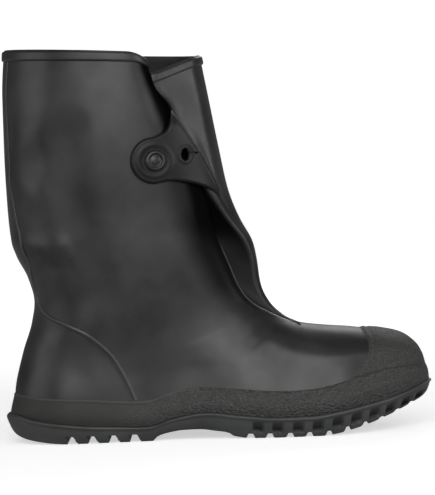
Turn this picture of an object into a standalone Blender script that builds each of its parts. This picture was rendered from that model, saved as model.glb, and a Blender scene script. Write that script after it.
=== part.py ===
"""Black rubber overshoe for a right foot, closed by a strap and button over a folded front gusset.

The shoe points along +X, its outer side faces -Y and it stands on Z = 0. Sizes below are in
millimetres. The upper is a fan of sections: each section is a line in the side view, from a
point on the front ridge to a point on the back or on the feather line, and a half width is
worked out at every point of that line. Every overlay is a patch of the same form.
"""

import math

import bmesh
import bpy
import numpy as np
from mathutils import Vector

MM = 0.001

# Driving dimensions
LENGTH = 310.0
UPPER_HEEL_X = -147.5
UPPER_TOE_X = 150.3
WALL = 2.0
GAP = 0.45
SEAT_GAP = 0.5
FOXING_THICK = 2.3
FOXING_LIFT = 0.75
TOE_CAP_THICK = 2.0
COUNTER_THICK = 0.8
COUNTER_LIFT = 0.95
COLLAR_BAND_HEIGHT = 6.0
COLLAR_BAND_THICK = 1.3
INSOLE_THICK = 2.0
SIDES = {"outer": -1.0, "inner": 1.0}

# Plan of the outsole: half widths either side of the shoe's axis before the ends are rounded
SOLE_PLAN_COLUMNS = ("x", "outer", "inner")
SOLE_PLAN = [
    (-155.0, 42.0, 42.0),
    (-110.0, 43.0, 42.5),
    (-60.0, 43.0, 41.0),
    (-20.0, 45.0, 39.5),
    (20.0, 52.0, 46.0),
    (55.0, 57.5, 54.5),
    (85.0, 57.5, 57.5),
    (120.0, 53.0, 57.0),
    (155.0, 47.0, 55.0),
]
HEEL_ROUND = 45.0
TOE_ROUND = 74.0
FEATHER_SHARE = 0.865

# Heights along the sole: its top, which is also the lip, and its tread
SOLE_TOP = {
    -155: 24.2, -146: 23.5, -131: 19.5, -102: 14.2, -63: 12.2, -44: 13.4, -27: 17.2, -10: 19.8,
    15: 17.0, 43: 13.6, 71: 12.8, 89: 14.6, 107: 18.4, 128: 25.0, 146: 30.2, 155: 31.2,
}
TREAD = {
    -155: 14.0, -150: 8.5, -143: 3.2, -134: 0.4, -127: 0.0, -48: 0.0, -44: 4.0, -35: 6.7,
    -26: 8.0, -14: 8.2, -3: 6.3, 12: 2.0, 24: 0.0, 73: 0.0, 84: 1.4, 97: 4.3, 109: 7.6,
    121: 11.6, 135: 17.0, 150: 22.4, 155: 24.8,
}
# Upper edge of the foxing band, seen from the side
FOXING_TOP = {
    -150: 35.4, -112: 32.6, -84: 30.7, -57: 29.0, -48: 29.9, -37: 33.0, -27: 36.0, -12: 37.7,
    16: 35.1, 51: 32.2, 79: 35.2, 90: 39.7, 98: 43.4, 110: 44.5, 150: 44.5,
}
# Forward edge of the heel counter and the backstay above it, seen from the side
COUNTER_EDGE = {
    29: -58.5, 44: -64.4, 55: -70.3, 66: -79.2, 77: -91.0, 82: -103.4, 90: -117.4, 96: -123.2,
    103: -126.5, 131: -132.0, 143: -134.5, 189: -137.0, 246: -137.6, 262: -136.0, 282: -133.0,
}
# Heights of extra levels where that edge turns from the counter into the backstay
COUNTER_SHOULDER = (76.0, 79.0, 82.0, 85.0, 88.5, 92.5)

# Sections of the upper, from the collar round the heel to the toe. back_z is None where the
# section stands on the feather line. front_round is how far from the ridge it is full width.
SECTION_COLUMNS = ("front_x", "front_z", "back_x", "back_z", "front_round")
SECTIONS = [
    (-3.0, 273.4, -145.0, 282.5, 74.0),
    (1.5, 246.0, -147.3, 250.0, 75.0),
    (8.0, 206.0, -147.6, 206.0, 77.0),
    (13.5, 176.0, -147.0, 174.0, 80.0),
    (21.0, 155.0, -145.8, 152.0, 84.0),
    (30.0, 137.0, -142.0, 135.0, 88.0),
    (32.5, 122.0, -134.0, 118.0, 88.0),
    (33.5, 111.0, -130.2, 101.0, 86.0),
    (35.0, 104.0, -132.6, 86.0, 84.0),
    (37.0, 99.0, -140.0, 64.0, 82.0),
    (39.5, 94.5, -145.5, 42.0, 80.0),
    (42.0, 91.0, UPPER_HEEL_X, None, 78.0),
    (44.5, 88.3, -136.0, None, 76.0),
    (47.0, 86.0, -110.0, None, 74.0),
    (50.0, 83.6, -70.0, None, 70.0),
    (54.0, 81.0, -20.0, None, 64.0),
    (62.0, 77.8, 25.0, None, 58.0),
    (78.0, 75.4, 62.0, None, 54.0),
    (98.0, 73.3, 90.0, None, 52.0),
    (115.0, 70.0, 108.0, None, 48.0),
    (130.0, 65.0, 116.0, None, 44.0),
    (141.0, 57.0, 120.0, None, 36.0),
    (147.0, 47.0, 123.0, None, 28.0),
    (149.8, 38.0, 125.0, None, 20.0),
    (UPPER_TOE_X, None, 126.5, None, 12.0),
]
HEEL_CORNER = 11
FOOT_FROM, FOOT_TO = 13.0, 17.0

# Front gusset, by section: distances from the ridge to its two folds, how far the web sags in
# between them, the round of the near fold and how far the flap hangs below the collar line
GUSSET_COLUMNS = ("section", "near_fold", "flap_fold", "sag", "lip", "drop")
GUSSET = [
    (0.0, 40.0, 34.5, 20.0, 8.0, 15.0),
    (0.5, 38.5, 33.0, 20.0, 8.0, 7.0),
    (1.0, 36.5, 31.0, 20.0, 8.0, 2.0),
    (2.0, 28.0, 21.5, 19.0, 7.0, 0.0),
    (3.0, 25.0, 14.0, 17.0, 6.0, 0.0),
    (4.0, 24.5, 7.5, 14.0, 5.0, 0.0),
    (5.0, 25.6, 4.2, 12.0, 3.5, 0.0),
    (6.0, 23.5, 2.5, 10.0, 3.0, 0.0),
    (7.0, 19.0, 2.2, 8.0, 2.6, 0.0),
    (9.0, 11.5, 2.0, 5.0, 2.2, 0.0),
    (12.0, 6.5, 1.8, 1.6, 1.5, 0.0),
    (15.0, 6.5, 2.0, 0.0, 1.5, 0.0),
    (18.0, 14.0, 6.0, 0.0, 4.0, 0.0),
    (24.0, 8.0, 3.0, 0.0, 2.0, 0.0),
]
FLAP_LIP = 1.5
WEB_AIM_BACK = 62.0
# Points round a section: near panel, near lip, web and flap, and then the inner side
OUTER_POINTS = (9, 3, 4, 3)
INNER_POINTS = 12
SECTION_COUNT = 48

# Leg: half width by height, and how round its back is
LEG_HALF_WIDTH = {60: 41.0, 110: 45.0, 140: 47.5, 200: 51.0, 285: 53.5}
BACK_ROUND = {20: 43.0, 60: 45.0, 110: 52.0, 160: 66.0, 285: 70.0}
LEG_FROM_Z, LEG_TO_Z = 45.0, 120.0
TUCK_HEIGHT, TUCK_SHARE = 14.0, 0.05
ARCH_POWER = 2.1
ARCH_STARTS = 10.0

# Strap: ribs from its root on the flap to the start of its round end, each as the x and z of
# its bottom and then of its top
STRAP_RIBS = [
    (14.5, 157.5, -26.0, 238.5),
    (5.0, 168.5, -27.6, 231.0),
    (-5.0, 177.5, -29.0, 225.0),
    (-15.0, 182.0, -31.5, 220.0),
    (-25.0, 183.3, -35.5, 217.2),
]
BUTTON_X, BUTTON_Z = -40.5, 199.8
STRAP_END_RADIUS = 16.6
STRAP_THICK = 2.4
STRAP_LIFT = 0.9
SECOND_HOLE_X, SECOND_HOLE_Z = -17.5, 202.0
BUTTON_HOLE_RADIUS = 3.8
SECOND_HOLE_RADIUS = 3.6
SLIT_LENGTH, SLIT_WIDTH = 6.0, 0.8
# Button: radius and height above the upper, from its foot up over its head
BUTTON_PROFILE = [
    (3.0, 0.35),
    (3.0, 4.0),
    (6.9, 4.1),
    (7.5, 5.2),
    (7.1, 6.5),
    (5.8, 7.4),
    (4.6, 7.2),
    (3.9, 6.4),
]

# Toe cap: where its rear edge starts on the foxing and how far that edge bows forward
CAP_CORNER_X, CAP_CORNER_Z = 98.5, 45.0
CAP_RIDGE_X = 104.5
CAP_BOW = 5.0

# Tread grooves across the sole: places along X, width at the tread and at the floor, and depth
HEEL_GROOVES = (-104.0, -89.3, -74.6, -60.0)
FOREFOOT_FIRST_GROOVE, FOREFOOT_PITCH, FOREFOOT_GROOVES = 7.5, 13.6, 10
GROOVE_MOUTH, GROOVE_FLOOR, GROOVE_DEPTH = 6.4, 4.2, 5.4
# Side of the outsole, from its top edge down: inset from the outline, drop as a share of the
# thickness, and the largest drop
SOLE_SIDE = [
    (1.0, 0.0, 0.0),
    (0.0, 0.13, 1.2),
    (0.3, 0.40, 4.2),
    (2.4, 0.56, 6.2),
]
TREAD_EDGE_INSET = 4.6
TREAD_BEVEL, TREAD_BEVEL_HEIGHT = 1.2, 1.4

COLOURS = {
    "upper_rubber": ((0.030, 0.031, 0.032), 0.42),
    "stippled_rubber": ((0.034, 0.034, 0.034), 0.62),
    "tread_rubber": ((0.026, 0.027, 0.028), 0.55),
    "button_rubber": ((0.022, 0.022, 0.024), 0.35),
    "insole_cloth": ((0.060, 0.060, 0.062), 0.90),
}


def column(rows, names, name):
    """One named column of a table, as an array."""
    return np.array([row[names.index(name)] for row in rows], float)


def smooth(knots, values, at):
    """A cubic through the points (knots, values) that never overshoots them, read at `at`."""
    knots, values, at = (np.asarray(a, float) for a in (knots, values, at))
    step = np.diff(knots)
    rise = np.diff(values) / step
    slope = np.zeros_like(values)
    slope[0], slope[-1] = rise[0], rise[-1]
    before, after = rise[:-1], rise[1:]
    climbs = before * after > 0
    harmonic = 2 * before * after / np.where(climbs, before + after, 1.0)
    slope[1:-1] = np.where(climbs, harmonic, 0.0)
    i = np.clip(np.searchsorted(knots, at) - 1, 0, len(step) - 1)
    t = np.clip((at - knots[i]) / step[i], 0, 1)
    start = values[i] * (1 + 2 * t) * (1 - t) ** 2 + slope[i] * step[i] * t * (1 - t) ** 2
    end = values[i + 1] * t * t * (3 - 2 * t) + slope[i + 1] * step[i] * t * t * (t - 1)
    return start + end


def read(table, at):
    """A smooth curve through a dictionary of places and values."""
    return smooth(list(table), list(table.values()), at)


def ease(low, high, at):
    """0 below low, 1 above high, and an S curve between."""
    t = np.clip((np.asarray(at, float) - low) / (high - low), 0, 1)
    return t * t * (3 - 2 * t)


def rounding(share):
    """A quarter circle: 0 at share 0 and 1 from share 1 on."""
    rest = 1 - np.clip(share, 0, 1)
    return np.sqrt(np.clip(1 - rest * rest, 0, 1))


def heel_end(x):
    """The round of the heel in plan: 0 at the heel's end and 1 from HEEL_ROUND on."""
    return rounding((np.asarray(x, float) + LENGTH / 2) / HEEL_ROUND)


def plan_half_width(x, side):
    """Half width of the outsole at x on one side, with a round toe and no end at the heel."""
    x = np.asarray(x, float)
    places = column(SOLE_PLAN, SOLE_PLAN_COLUMNS, "x")
    base = smooth(places, column(SOLE_PLAN, SOLE_PLAN_COLUMNS, side), x)
    return base * rounding((LENGTH / 2 - x) / TOE_ROUND)


def sole_half_width(x, side):
    """Half width of the outsole at x on one side, with its round heel and toe."""
    return plan_half_width(x, side) * heel_end(x)


def sole_place(x):
    """The place along the outsole that a place along the upper's feather line answers to."""
    share = (np.asarray(x, float) - UPPER_HEEL_X) / (UPPER_TOE_X - UPPER_HEEL_X)
    return (share - 0.5) * LENGTH


def foot_half_width(x, side):
    """Half width of the upper low on the foot: the sole's plan, drawn in, open at the heel."""
    return FEATHER_SHARE * plan_half_width(sole_place(x), side)


def feather_height(x):
    """Height of the upper's lower edge, just clear of the sole."""
    return read(SOLE_TOP, x) + SEAT_GAP


def section_column(name, at):
    """A column of the section table at any place between the sections."""
    values = column(filled_sections(), SECTION_COLUMNS, name)
    return smooth(np.arange(len(SECTIONS)), values, at)


def filled_sections():
    """The section table with the heights that the feather line gives."""
    rows = []
    for front_x, front_z, back_x, back_z, front_round in SECTIONS:
        front_z = float(feather_height(front_x)) if front_z is None else front_z
        back_z = float(feather_height(back_x)) if back_z is None else back_z
        rows.append((front_x, front_z, back_x, back_z, front_round))
    return rows


def gusset_column(name, at):
    """A column of the gusset table at any section."""
    return smooth(column(GUSSET, GUSSET_COLUMNS, "section"), column(GUSSET, GUSSET_COLUMNS, name), at)


def section_ends(at):
    """The front and back ends of a section's line in the side view."""
    front_x, front_z = section_column("front_x", at), section_column("front_z", at)
    back_x, back_z = section_column("back_x", at), section_column("back_z", at)
    back_z = np.where(np.asarray(at) >= HEEL_CORNER, feather_height(back_x), back_z)
    return front_x, front_z, back_x, back_z


def back_x(z):
    """The back of the upper at height z."""
    rows = filled_sections()[: HEEL_CORNER + 1][::-1]
    return smooth(column(rows, SECTION_COLUMNS, "back_z"), column(rows, SECTION_COLUMNS, "back_x"), z)


def ridge_x(z):
    """The front ridge at height z."""
    rows = filled_sections()[::-1]
    return smooth(column(rows, SECTION_COLUMNS, "front_z"), column(rows, SECTION_COLUMNS, "front_x"), z)


def ridge_z(x):
    """The height of the front ridge above x."""
    rows = filled_sections()
    return smooth(column(rows, SECTION_COLUMNS, "front_x"), column(rows, SECTION_COLUMNS, "front_z"), x)


def half_width(x, z, at, from_front, side):
    """Half width of the upper at a point of the side view.

    at is the section through that point and from_front its distance from the ridge. The leg is
    an oval between its front and back, and the foot is its plan times an arch over the ridge.
    """
    leg = ease(LEG_FROM_Z, LEG_TO_Z, z)
    slab = (1 - leg) * foot_half_width(x, side) + leg * read(LEG_HALF_WIDTH, z)
    foot = ease(FOOT_FROM, FOOT_TO, at)
    plan = (1 - foot) * slab + foot * foot_half_width(x, side)
    front = rounding(from_front / section_column("front_round", at))
    base = feather_height(x) + ARCH_STARTS
    rise = np.clip((z - base) / np.maximum(ridge_z(x) - base, 1e-6), 0, 1)
    arch = (1 - rise**ARCH_POWER) ** (1 / ARCH_POWER)
    back = rounding((x - back_x(z)) / read(BACK_ROUND, z))
    tuck = 1 - TUCK_SHARE * np.clip(1 - (z - feather_height(x)) / TUCK_HEIGHT, 0, 1) ** 2
    return plan * ((1 - foot) * front + foot * arch) * back * tuck


def section_at(x, z):
    """The section whose line passes through each point of the side view, by halving."""
    low = np.zeros(np.shape(x))
    high = np.full(np.shape(x), len(SECTIONS) - 1.0)
    for _ in range(30):
        middle = (low + high) / 2
        front_x, front_z, end_x, end_z = section_ends(middle)
        ahead = (end_x - front_x) * (z - front_z) - (end_z - front_z) * (x - front_x) > 0
        low, high = np.where(ahead, middle, low), np.where(ahead, high, middle)
    return (low + high) / 2


def upper_y(x, z, side):
    """Where the upper's outer face is at a point of the side view, with no gusset."""
    x, z = np.broadcast_arrays(np.asarray(x, float), np.asarray(z, float))
    at = section_at(x, z)
    front_x, front_z, _, _ = section_ends(at)
    return SIDES[side] * half_width(x, z, at, np.hypot(x - front_x, z - front_z), side)


def section_places():
    """Sections spread so that their ends lie evenly along the shoe's outline."""
    fine = np.linspace(0, len(SECTIONS) - 1, 1201)
    front_x, front_z, end_x, end_z = section_ends(fine)
    end_y = half_width(end_x, end_z, fine, np.hypot(end_x - front_x, end_z - front_z), "outer")
    end_y[fine <= HEEL_CORNER] = 0.0
    front = np.hypot(np.diff(front_x), np.diff(front_z))
    end = np.sqrt(np.diff(end_x) ** 2 + np.diff(end_y) ** 2 + np.diff(end_z) ** 2)
    along = np.concatenate([[0], np.cumsum(np.maximum(front, end))])
    return np.interp(np.linspace(0, along[-1], SECTION_COUNT), along, fine)


def outer_side_of_section(at, near_columns, lip_columns, web_columns, flap_columns):
    """The outer half of a section, from the back round the folded gusset to the ridge.

    Each point has a share of the way from the ridge to the back, a displacement inwards along
    the section's own aim and a drop. The near panel ends in a round lip, the web sags between
    the folds and the flap runs on to the ridge.
    """
    front_x, front_z, end_x, end_z = section_ends(at)
    length = math.hypot(end_x - front_x, end_z - front_z)
    near, flap = gusset_column("near_fold", at), gusset_column("flap_fold", at)
    lip, sag, drop = (gusset_column(name, at) for name in ("lip", "sag", "drop"))
    fold = ease(0.0, 2.0, sag)
    steps = np.linspace(0, 1, near_columns, endpoint=False)
    panel = near + lip + (length - near - lip) * np.cos(steps * math.pi / 2)
    turn = np.linspace(0, math.pi / 2, lip_columns)
    lip_run, lip_in = near + lip * (1 - np.sin(turn)), lip * (1 - np.cos(turn)) * fold
    web = np.linspace(0, 1, web_columns + 2)[1:-1]
    web_run = near + (flap - near) * web
    web_in = lip * fold * (1 - web) + FLAP_LIP * fold * web + sag * np.sin(math.pi * web) ** 0.7
    onward = np.linspace(0, 1, flap_columns, endpoint=False)
    flap_run = flap * (1 - np.sin(onward * math.pi / 2))
    flap_in = FLAP_LIP * fold * np.where(onward == 0, 1.0, 0.0)
    run = np.concatenate([panel, lip_run, web_run, flap_run])
    inwards = np.concatenate([np.zeros(near_columns), lip_in, web_in, flap_in])
    web_drop, flap_drop = drop * web, drop * flap_run / flap
    drops = np.concatenate([np.zeros(near_columns + lip_columns), web_drop, flap_drop])
    return run, inwards, drops, length


def section_points(at, counts, inner_columns):
    """One section of the upper as points, from the back by the outer side to the back again."""
    front_x, front_z, end_x, end_z = section_ends(at)
    run, inwards, drops, length = outer_side_of_section(at, *counts)
    turn = np.linspace(0, math.pi, inner_columns)
    inner_run = length * (1 - np.cos(turn)) / 2
    all_run = np.concatenate([run, inner_run])
    x = front_x + (end_x - front_x) * all_run / length
    z = np.maximum(front_z + (end_z - front_z) * all_run / length, feather_height(x))
    places = np.full(len(x), float(at))
    outer = len(run)
    y = np.empty(len(x))
    y[:outer] = -half_width(x[:outer], z[:outer], places[:outer], all_run[:outer], "outer")
    y[outer:] = half_width(x[outer:], z[outer:], places[outer:], all_run[outer:], "inner")
    if at <= HEEL_CORNER:
        y[[0, -1]] = 0.0
    fold_middle = outer - counts[3] - counts[2] // 2
    aim = np.array([front_x - WEB_AIM_BACK - x[fold_middle], -y[fold_middle]])
    aim = aim / np.linalg.norm(aim)
    x[:outer] += aim[0] * inwards
    y[:outer] += aim[1] * inwards
    z[:outer] -= drops
    return np.stack([x, y, z], axis=1)


def grid_normals(grid):
    """Unit normals of a grid of points, turned to face away from the shoe's middle plane."""
    normals = np.cross(np.gradient(grid, axis=0), np.gradient(grid, axis=1))
    normals /= np.maximum(np.linalg.norm(normals, axis=2, keepdims=True), 1e-9)
    return normals if np.sum(normals[..., 1] * grid[..., 1]) > 0 else -normals


def grid_faces(rows, columns, wrap=False):
    """Quads over a grid of points, closed into a ring where wrap is set."""
    i, j = np.meshgrid(np.arange(rows - 1), np.arange(columns if wrap else columns - 1), indexing="ij")
    after = (j + 1) % columns
    corners = [i * columns + j, i * columns + after, (i + 1) * columns + after, (i + 1) * columns + j]
    return np.stack(corners, axis=-1).reshape(-1, 4).tolist()


def material(name):
    """A plain material for one kind of rubber or cloth."""
    made = bpy.data.materials.get(name)
    if made is None:
        colour, roughness = COLOURS[name]
        made = bpy.data.materials.new(name)
        made.use_nodes = True
        shader = made.node_tree.nodes["Principled BSDF"]
        shader.inputs["Base Color"].default_value = (*colour, 1.0)
        shader.inputs["Roughness"].default_value = roughness
        shader.inputs["Metallic"].default_value = 0.0
    return made


def mesh_object(name, points, faces, finish, outward=None):
    """An object from points in millimetres, welded, with its faces turned the same way."""
    mesh = bpy.data.meshes.new(name)
    mesh.from_pydata((np.asarray(points) * MM).tolist(), [], faces)
    work = bmesh.new()
    work.from_mesh(mesh)
    bmesh.ops.remove_doubles(work, verts=work.verts, dist=0.00002)
    bmesh.ops.dissolve_degenerate(work, edges=work.edges, dist=0.00001)
    if outward is None:
        bmesh.ops.recalc_face_normals(work, faces=work.faces)
    work.to_mesh(mesh)
    work.free()
    if outward is not None:
        turn_outward(mesh)
    mesh.shade_smooth()
    made = bpy.data.objects.new(name, mesh)
    made.data.materials.append(material(finish))
    bpy.context.scene.collection.objects.link(made)
    return made


def turn_outward(mesh):
    """Turns an open sheet's faces to face away from the shoe's middle plane."""
    facing = sum(face.normal.y * face.center.y * face.area for face in mesh.polygons)
    if facing < 0:
        mesh.flip_normals()


def thicken(made, thickness, outwards):
    """Gives an open sheet a wall, grown out from it or in from it."""
    wall = made.modifiers.new("wall", "SOLIDIFY")
    wall.thickness = thickness * MM
    wall.offset = 1.0 if outwards else -1.0
    wall.use_rim = True


def overlay(name, grid, lift, thickness, finish, wrap=False, level=False):
    """A plate that stands proud of the upper: cut between two larger forms of the same patch.

    level keeps the growth horizontal, for a band that stands on the sole's lip.
    """
    if wrap:
        padded = np.concatenate([grid[:, -1:], grid, grid[:, :1]], axis=1)
        out = grid_normals(padded)[:, 1:-1]
    else:
        out = grid_normals(grid)
    if level:
        out = out * (1, 1, 0)
        out /= np.linalg.norm(out, axis=2, keepdims=True)
    faces_of = np.stack([grid + out * lift, grid + out * (lift + thickness)])
    if level:
        faces_of[..., 2] += read(SOLE_TOP, faces_of[..., 0]) - read(SOLE_TOP, grid[..., 0])
    rows, columns = grid.shape[:2]
    skin = np.array(grid_faces(rows, columns, wrap))
    faces = skin.tolist() + (skin[:, ::-1] + rows * columns).tolist()
    for edge in rim_edges(rows, columns, wrap):
        faces += [[a, b, b + rows * columns, a + rows * columns] for a, b in zip(edge[:-1], edge[1:])]
    return mesh_object(name, faces_of.reshape(-1, 3), faces, finish)


def rim_edges(rows, columns, wrap):
    """The open edges of a grid, as runs of point numbers."""
    number = np.arange(rows * columns).reshape(rows, columns)
    if wrap:
        return [[*line.tolist(), int(line[0])] for line in (number[0], number[-1])]
    around = [*number[0], *number[1:, -1], *number[-1, -2::-1], *number[-2::-1, 0]]
    return [[int(n) for n in around]]


def make_upper():
    """The moulded upper: one hollow wall, open at the collar and along the feather line."""
    rows = [section_points(at, OUTER_POINTS, INNER_POINTS) for at in section_places()]
    grid = np.array(rows)
    faces = grid_faces(*grid.shape[:2])
    upper = mesh_object("upper", grid.reshape(-1, 3), faces, "upper_rubber", outward=True)
    thicken(upper, WALL, outwards=False)
    return upper


def sole_outline(count):
    """The outsole's outline from the heel round the outer side to the toe and back."""
    along = -LENGTH / 2 * np.cos(np.linspace(0, math.pi, count))
    outer = np.stack([along, -sole_half_width(along, "outer")], axis=1)
    inner = np.stack([along, sole_half_width(along, "inner")], axis=1)[1:-1][::-1]
    return np.concatenate([outer, inner])


def drawn_in(outline, inset):
    """An outline moved inwards along its own normals."""
    along = np.roll(outline, -1, axis=0) - np.roll(outline, 1, axis=0)
    along /= np.linalg.norm(along, axis=1, keepdims=True)
    return outline + inset * np.stack([-along[:, 1], along[:, 0]], axis=1)


def make_outsole():
    """The outsole: a blank with its lip, side and tread, then grooves cut across it."""
    count = 46
    outline = sole_outline(count)
    top = read(SOLE_TOP, outline[:, 0])
    thick = top - read(TREAD, outline[:, 0])
    rings = []
    for inset, share, most in SOLE_SIDE:
        edge = drawn_in(outline, inset)
        rings.append(np.column_stack([edge, top - np.minimum(share * thick, most)]))
    for inset, lift in ((TREAD_EDGE_INSET, TREAD_BEVEL_HEIGHT), (TREAD_EDGE_INSET + TREAD_BEVEL, 0.0)):
        edge = drawn_in(outline, inset)
        tread = read(TREAD, edge[:, 0])
        rings.append(np.column_stack([edge, tread + np.minimum(lift, 0.15 * thick)]))
    grid = np.array(rings)
    size = grid.shape[1]
    faces = grid_faces(len(rings), size, wrap=True)
    for ring in (0, len(rings) - 1):
        faces += across_ring(ring * size, size, count)
    outsole = mesh_object("outsole", grid.reshape(-1, 3), faces, "tread_rubber")
    cutter = make_grooves()
    cut = outsole.modifiers.new("grooves", "BOOLEAN")
    cut.operation = "DIFFERENCE"
    cut.solver = "EXACT"
    cut.object = cutter
    return outsole


def across_ring(first, size, count):
    """Faces that close a ring by joining its outer and inner sides at the same places."""
    outer = np.arange(count)
    inner = np.concatenate([[0], np.arange(size - 1, count - 1, -1), [count - 1]])
    faces = []
    for k in range(count - 1):
        corners = [outer[k], outer[k + 1], inner[k + 1], inner[k]]
        faces.append([int(first + c) for c in dict.fromkeys(corners)])
    return faces


def make_grooves():
    """Prisms that cut the grooves of the tread, each along Y."""
    forefoot = FOREFOOT_FIRST_GROOVE + FOREFOOT_PITCH * np.arange(FOREFOOT_GROOVES)
    points, faces = [], []
    reach = LENGTH / 4
    for x in (*HEEL_GROOVES, *forefoot):
        tread = float(read(TREAD, x))
        mouth, floor = GROOVE_MOUTH / 2, GROOVE_FLOOR / 2
        slope = (mouth - floor) / GROOVE_DEPTH
        below = 12.0
        profile = [
            (x - mouth - slope * below, tread - below),
            (x + mouth + slope * below, tread - below),
            (x + floor, tread + GROOVE_DEPTH),
            (x - floor, tread + GROOVE_DEPTH),
        ]
        first = len(points)
        points += [(px, y, pz) for y in (-reach, reach) for px, pz in profile]
        faces += [[first + c for c in corners] for corners in (
            (0, 1, 2, 3), (7, 6, 5, 4), (0, 4, 5, 1), (1, 5, 6, 2), (2, 6, 7, 3), (3, 7, 4, 0),
        )]
    cutter = mesh_object("tread_groove_cutter", points, faces, "tread_rubber")
    cutter.hide_render = True
    cutter.display_type = "WIRE"
    return cutter


def make_insole():
    """A thin cloth-faced floor inside the upper."""
    margin = WALL + 0.8
    share = np.linspace(0, math.pi, 40)
    start, end = UPPER_HEEL_X + margin, UPPER_TOE_X - margin
    x = (start + end) / 2 - (end - start) / 2 * np.cos(share)
    squeeze = (UPPER_TOE_X - UPPER_HEEL_X) / (end - start)
    plan_x = (x - (start + end) / 2) * squeeze + (UPPER_HEEL_X + UPPER_TOE_X) / 2
    low = (1 - TUCK_SHARE) * heel_end(sole_place(plan_x))
    outer = -np.maximum(low * foot_half_width(plan_x, "outer") - margin, 0)
    inner = np.maximum(low * foot_half_width(plan_x, "inner") - margin, 0)
    y = np.stack([outer, inner], axis=1)
    x = np.repeat(x[:, None], 2, axis=1)
    grid = np.stack([x, y, read(SOLE_TOP, x) + SEAT_GAP], axis=2)
    insole = mesh_object("insole", grid.reshape(-1, 3), grid_faces(*y.shape), "insole_cloth")
    if insole.data.polygons[20].normal.z < 0:
        insole.data.flip_normals()
    thicken(insole, INSOLE_THICK, outwards=True)
    return insole


def make_foxing():
    """The textured band that wraps the foot above the sole's lip."""
    rows = []
    for level in np.linspace(0, 1, 3):
        heel_z = (1 - level) * feather_height(UPPER_HEEL_X) + level * read(FOXING_TOP, UPPER_HEEL_X)
        toe_z = (1 - level) * feather_height(UPPER_TOE_X) + level * read(FOXING_TOP, UPPER_TOE_X)
        start, end = float(back_x(heel_z)), float(ridge_x(toe_z))
        x = (start + end) / 2 - (end - start) / 2 * np.cos(np.linspace(0, math.pi, 41))
        z = (1 - level) * feather_height(x) + level * read(FOXING_TOP, x)
        outer = np.stack([x, upper_y(x, z, "outer"), z], axis=1)
        inner = np.stack([x, upper_y(x, z, "inner"), z], axis=1)[1:-1][::-1]
        outer[[0, -1], 1] = 0.0
        rows.append(np.concatenate([outer, inner]))
    grid = np.array(rows)
    return overlay("foxing", grid, FOXING_LIFT, FOXING_THICK, "stippled_rubber", wrap=True, level=True)


def make_toe_cap():
    """The toe cap: a fan of arches from its corners on the foxing, swept forward over the toe."""
    low = float(read(FOXING_TOP, UPPER_TOE_X)) + SEAT_GAP
    end_x = float(ridge_x(low))
    across = np.linspace(-1, 1, 23)
    share = across**2
    rows = []
    for sweep in np.linspace(0, 1, 9):
        ridge = CAP_RIDGE_X + (end_x - CAP_RIDGE_X) * math.sin(sweep * math.pi / 2)
        top = max(float(ridge_z(ridge)), low)
        bow = CAP_BOW * (1 - sweep) * np.sin(math.pi * share)
        x = ridge + (CAP_CORNER_X - ridge) * share + bow
        z = top + (CAP_CORNER_Z - top) * share
        y = np.where(across < 0, upper_y(x, z, "outer"), upper_y(x, z, "inner"))
        y[share == 0] = 0.0
        rows.append(np.stack([x, y, z], axis=1))
    return overlay("toe_cap", np.array(rows), GAP, TOE_CAP_THICK, "stippled_rubber")


def make_heel_counter():
    """The heel counter and the backstay that runs up from it to the collar band."""
    low = float(read(FOXING_TOP, UPPER_HEEL_X)) + SEAT_GAP
    high = SECTIONS[0][3] - COLLAR_BAND_HEIGHT - 2.0
    backs = section_ends(section_places())[3]
    backs = backs[(backs > low + 3) & (backs < high - 3)][::-1]
    ankle, shaft = backs[(backs > 96) & (backs < 150)], backs[backs > 150][::2]
    levels = np.array([low, *backs[backs < 74], *COUNTER_SHOULDER, *ankle, *shaft, high])
    turn = np.linspace(-1, 1, 17)
    rows = []
    for level in levels:
        edge, back = float(read(COUNTER_EDGE, level)), float(back_x(level))
        x = back + (edge - back) * turn**2
        settle = np.clip(1 - (level - low) / 25, 0, 1)
        z = level + settle * (read(FOXING_TOP, x) + SEAT_GAP - low)
        y = np.where(turn < 0, upper_y(x, z, "outer"), upper_y(x, z, "inner"))
        y[turn == 0] = 0.0
        rows.append(np.stack([x, y, z], axis=1))
    return overlay("heel_counter", np.array(rows), COUNTER_LIFT, COUNTER_THICK, "upper_rubber")


def make_collar_band():
    """The band round the collar, from the near fold round the back to the edge of the flap."""
    panel_points, lip_points, _, flap_points = OUTER_POINTS
    outer = sum(OUTER_POINTS)
    depth = COLLAR_BAND_HEIGHT / (SECTIONS[0][1] - SECTIONS[1][1])
    rows = []
    for at in np.linspace(0.005, depth, 4):
        points = section_points(at, OUTER_POINTS, INNER_POINTS)
        panel = points[: panel_points + lip_points - 1]
        flap = points[outer - flap_points : outer]
        around = points[outer:-1]
        rows.append(np.concatenate([flap, around, panel]))
    return overlay("collar_band", np.array(rows), GAP, COLLAR_BAND_THICK, "upper_rubber")


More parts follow.
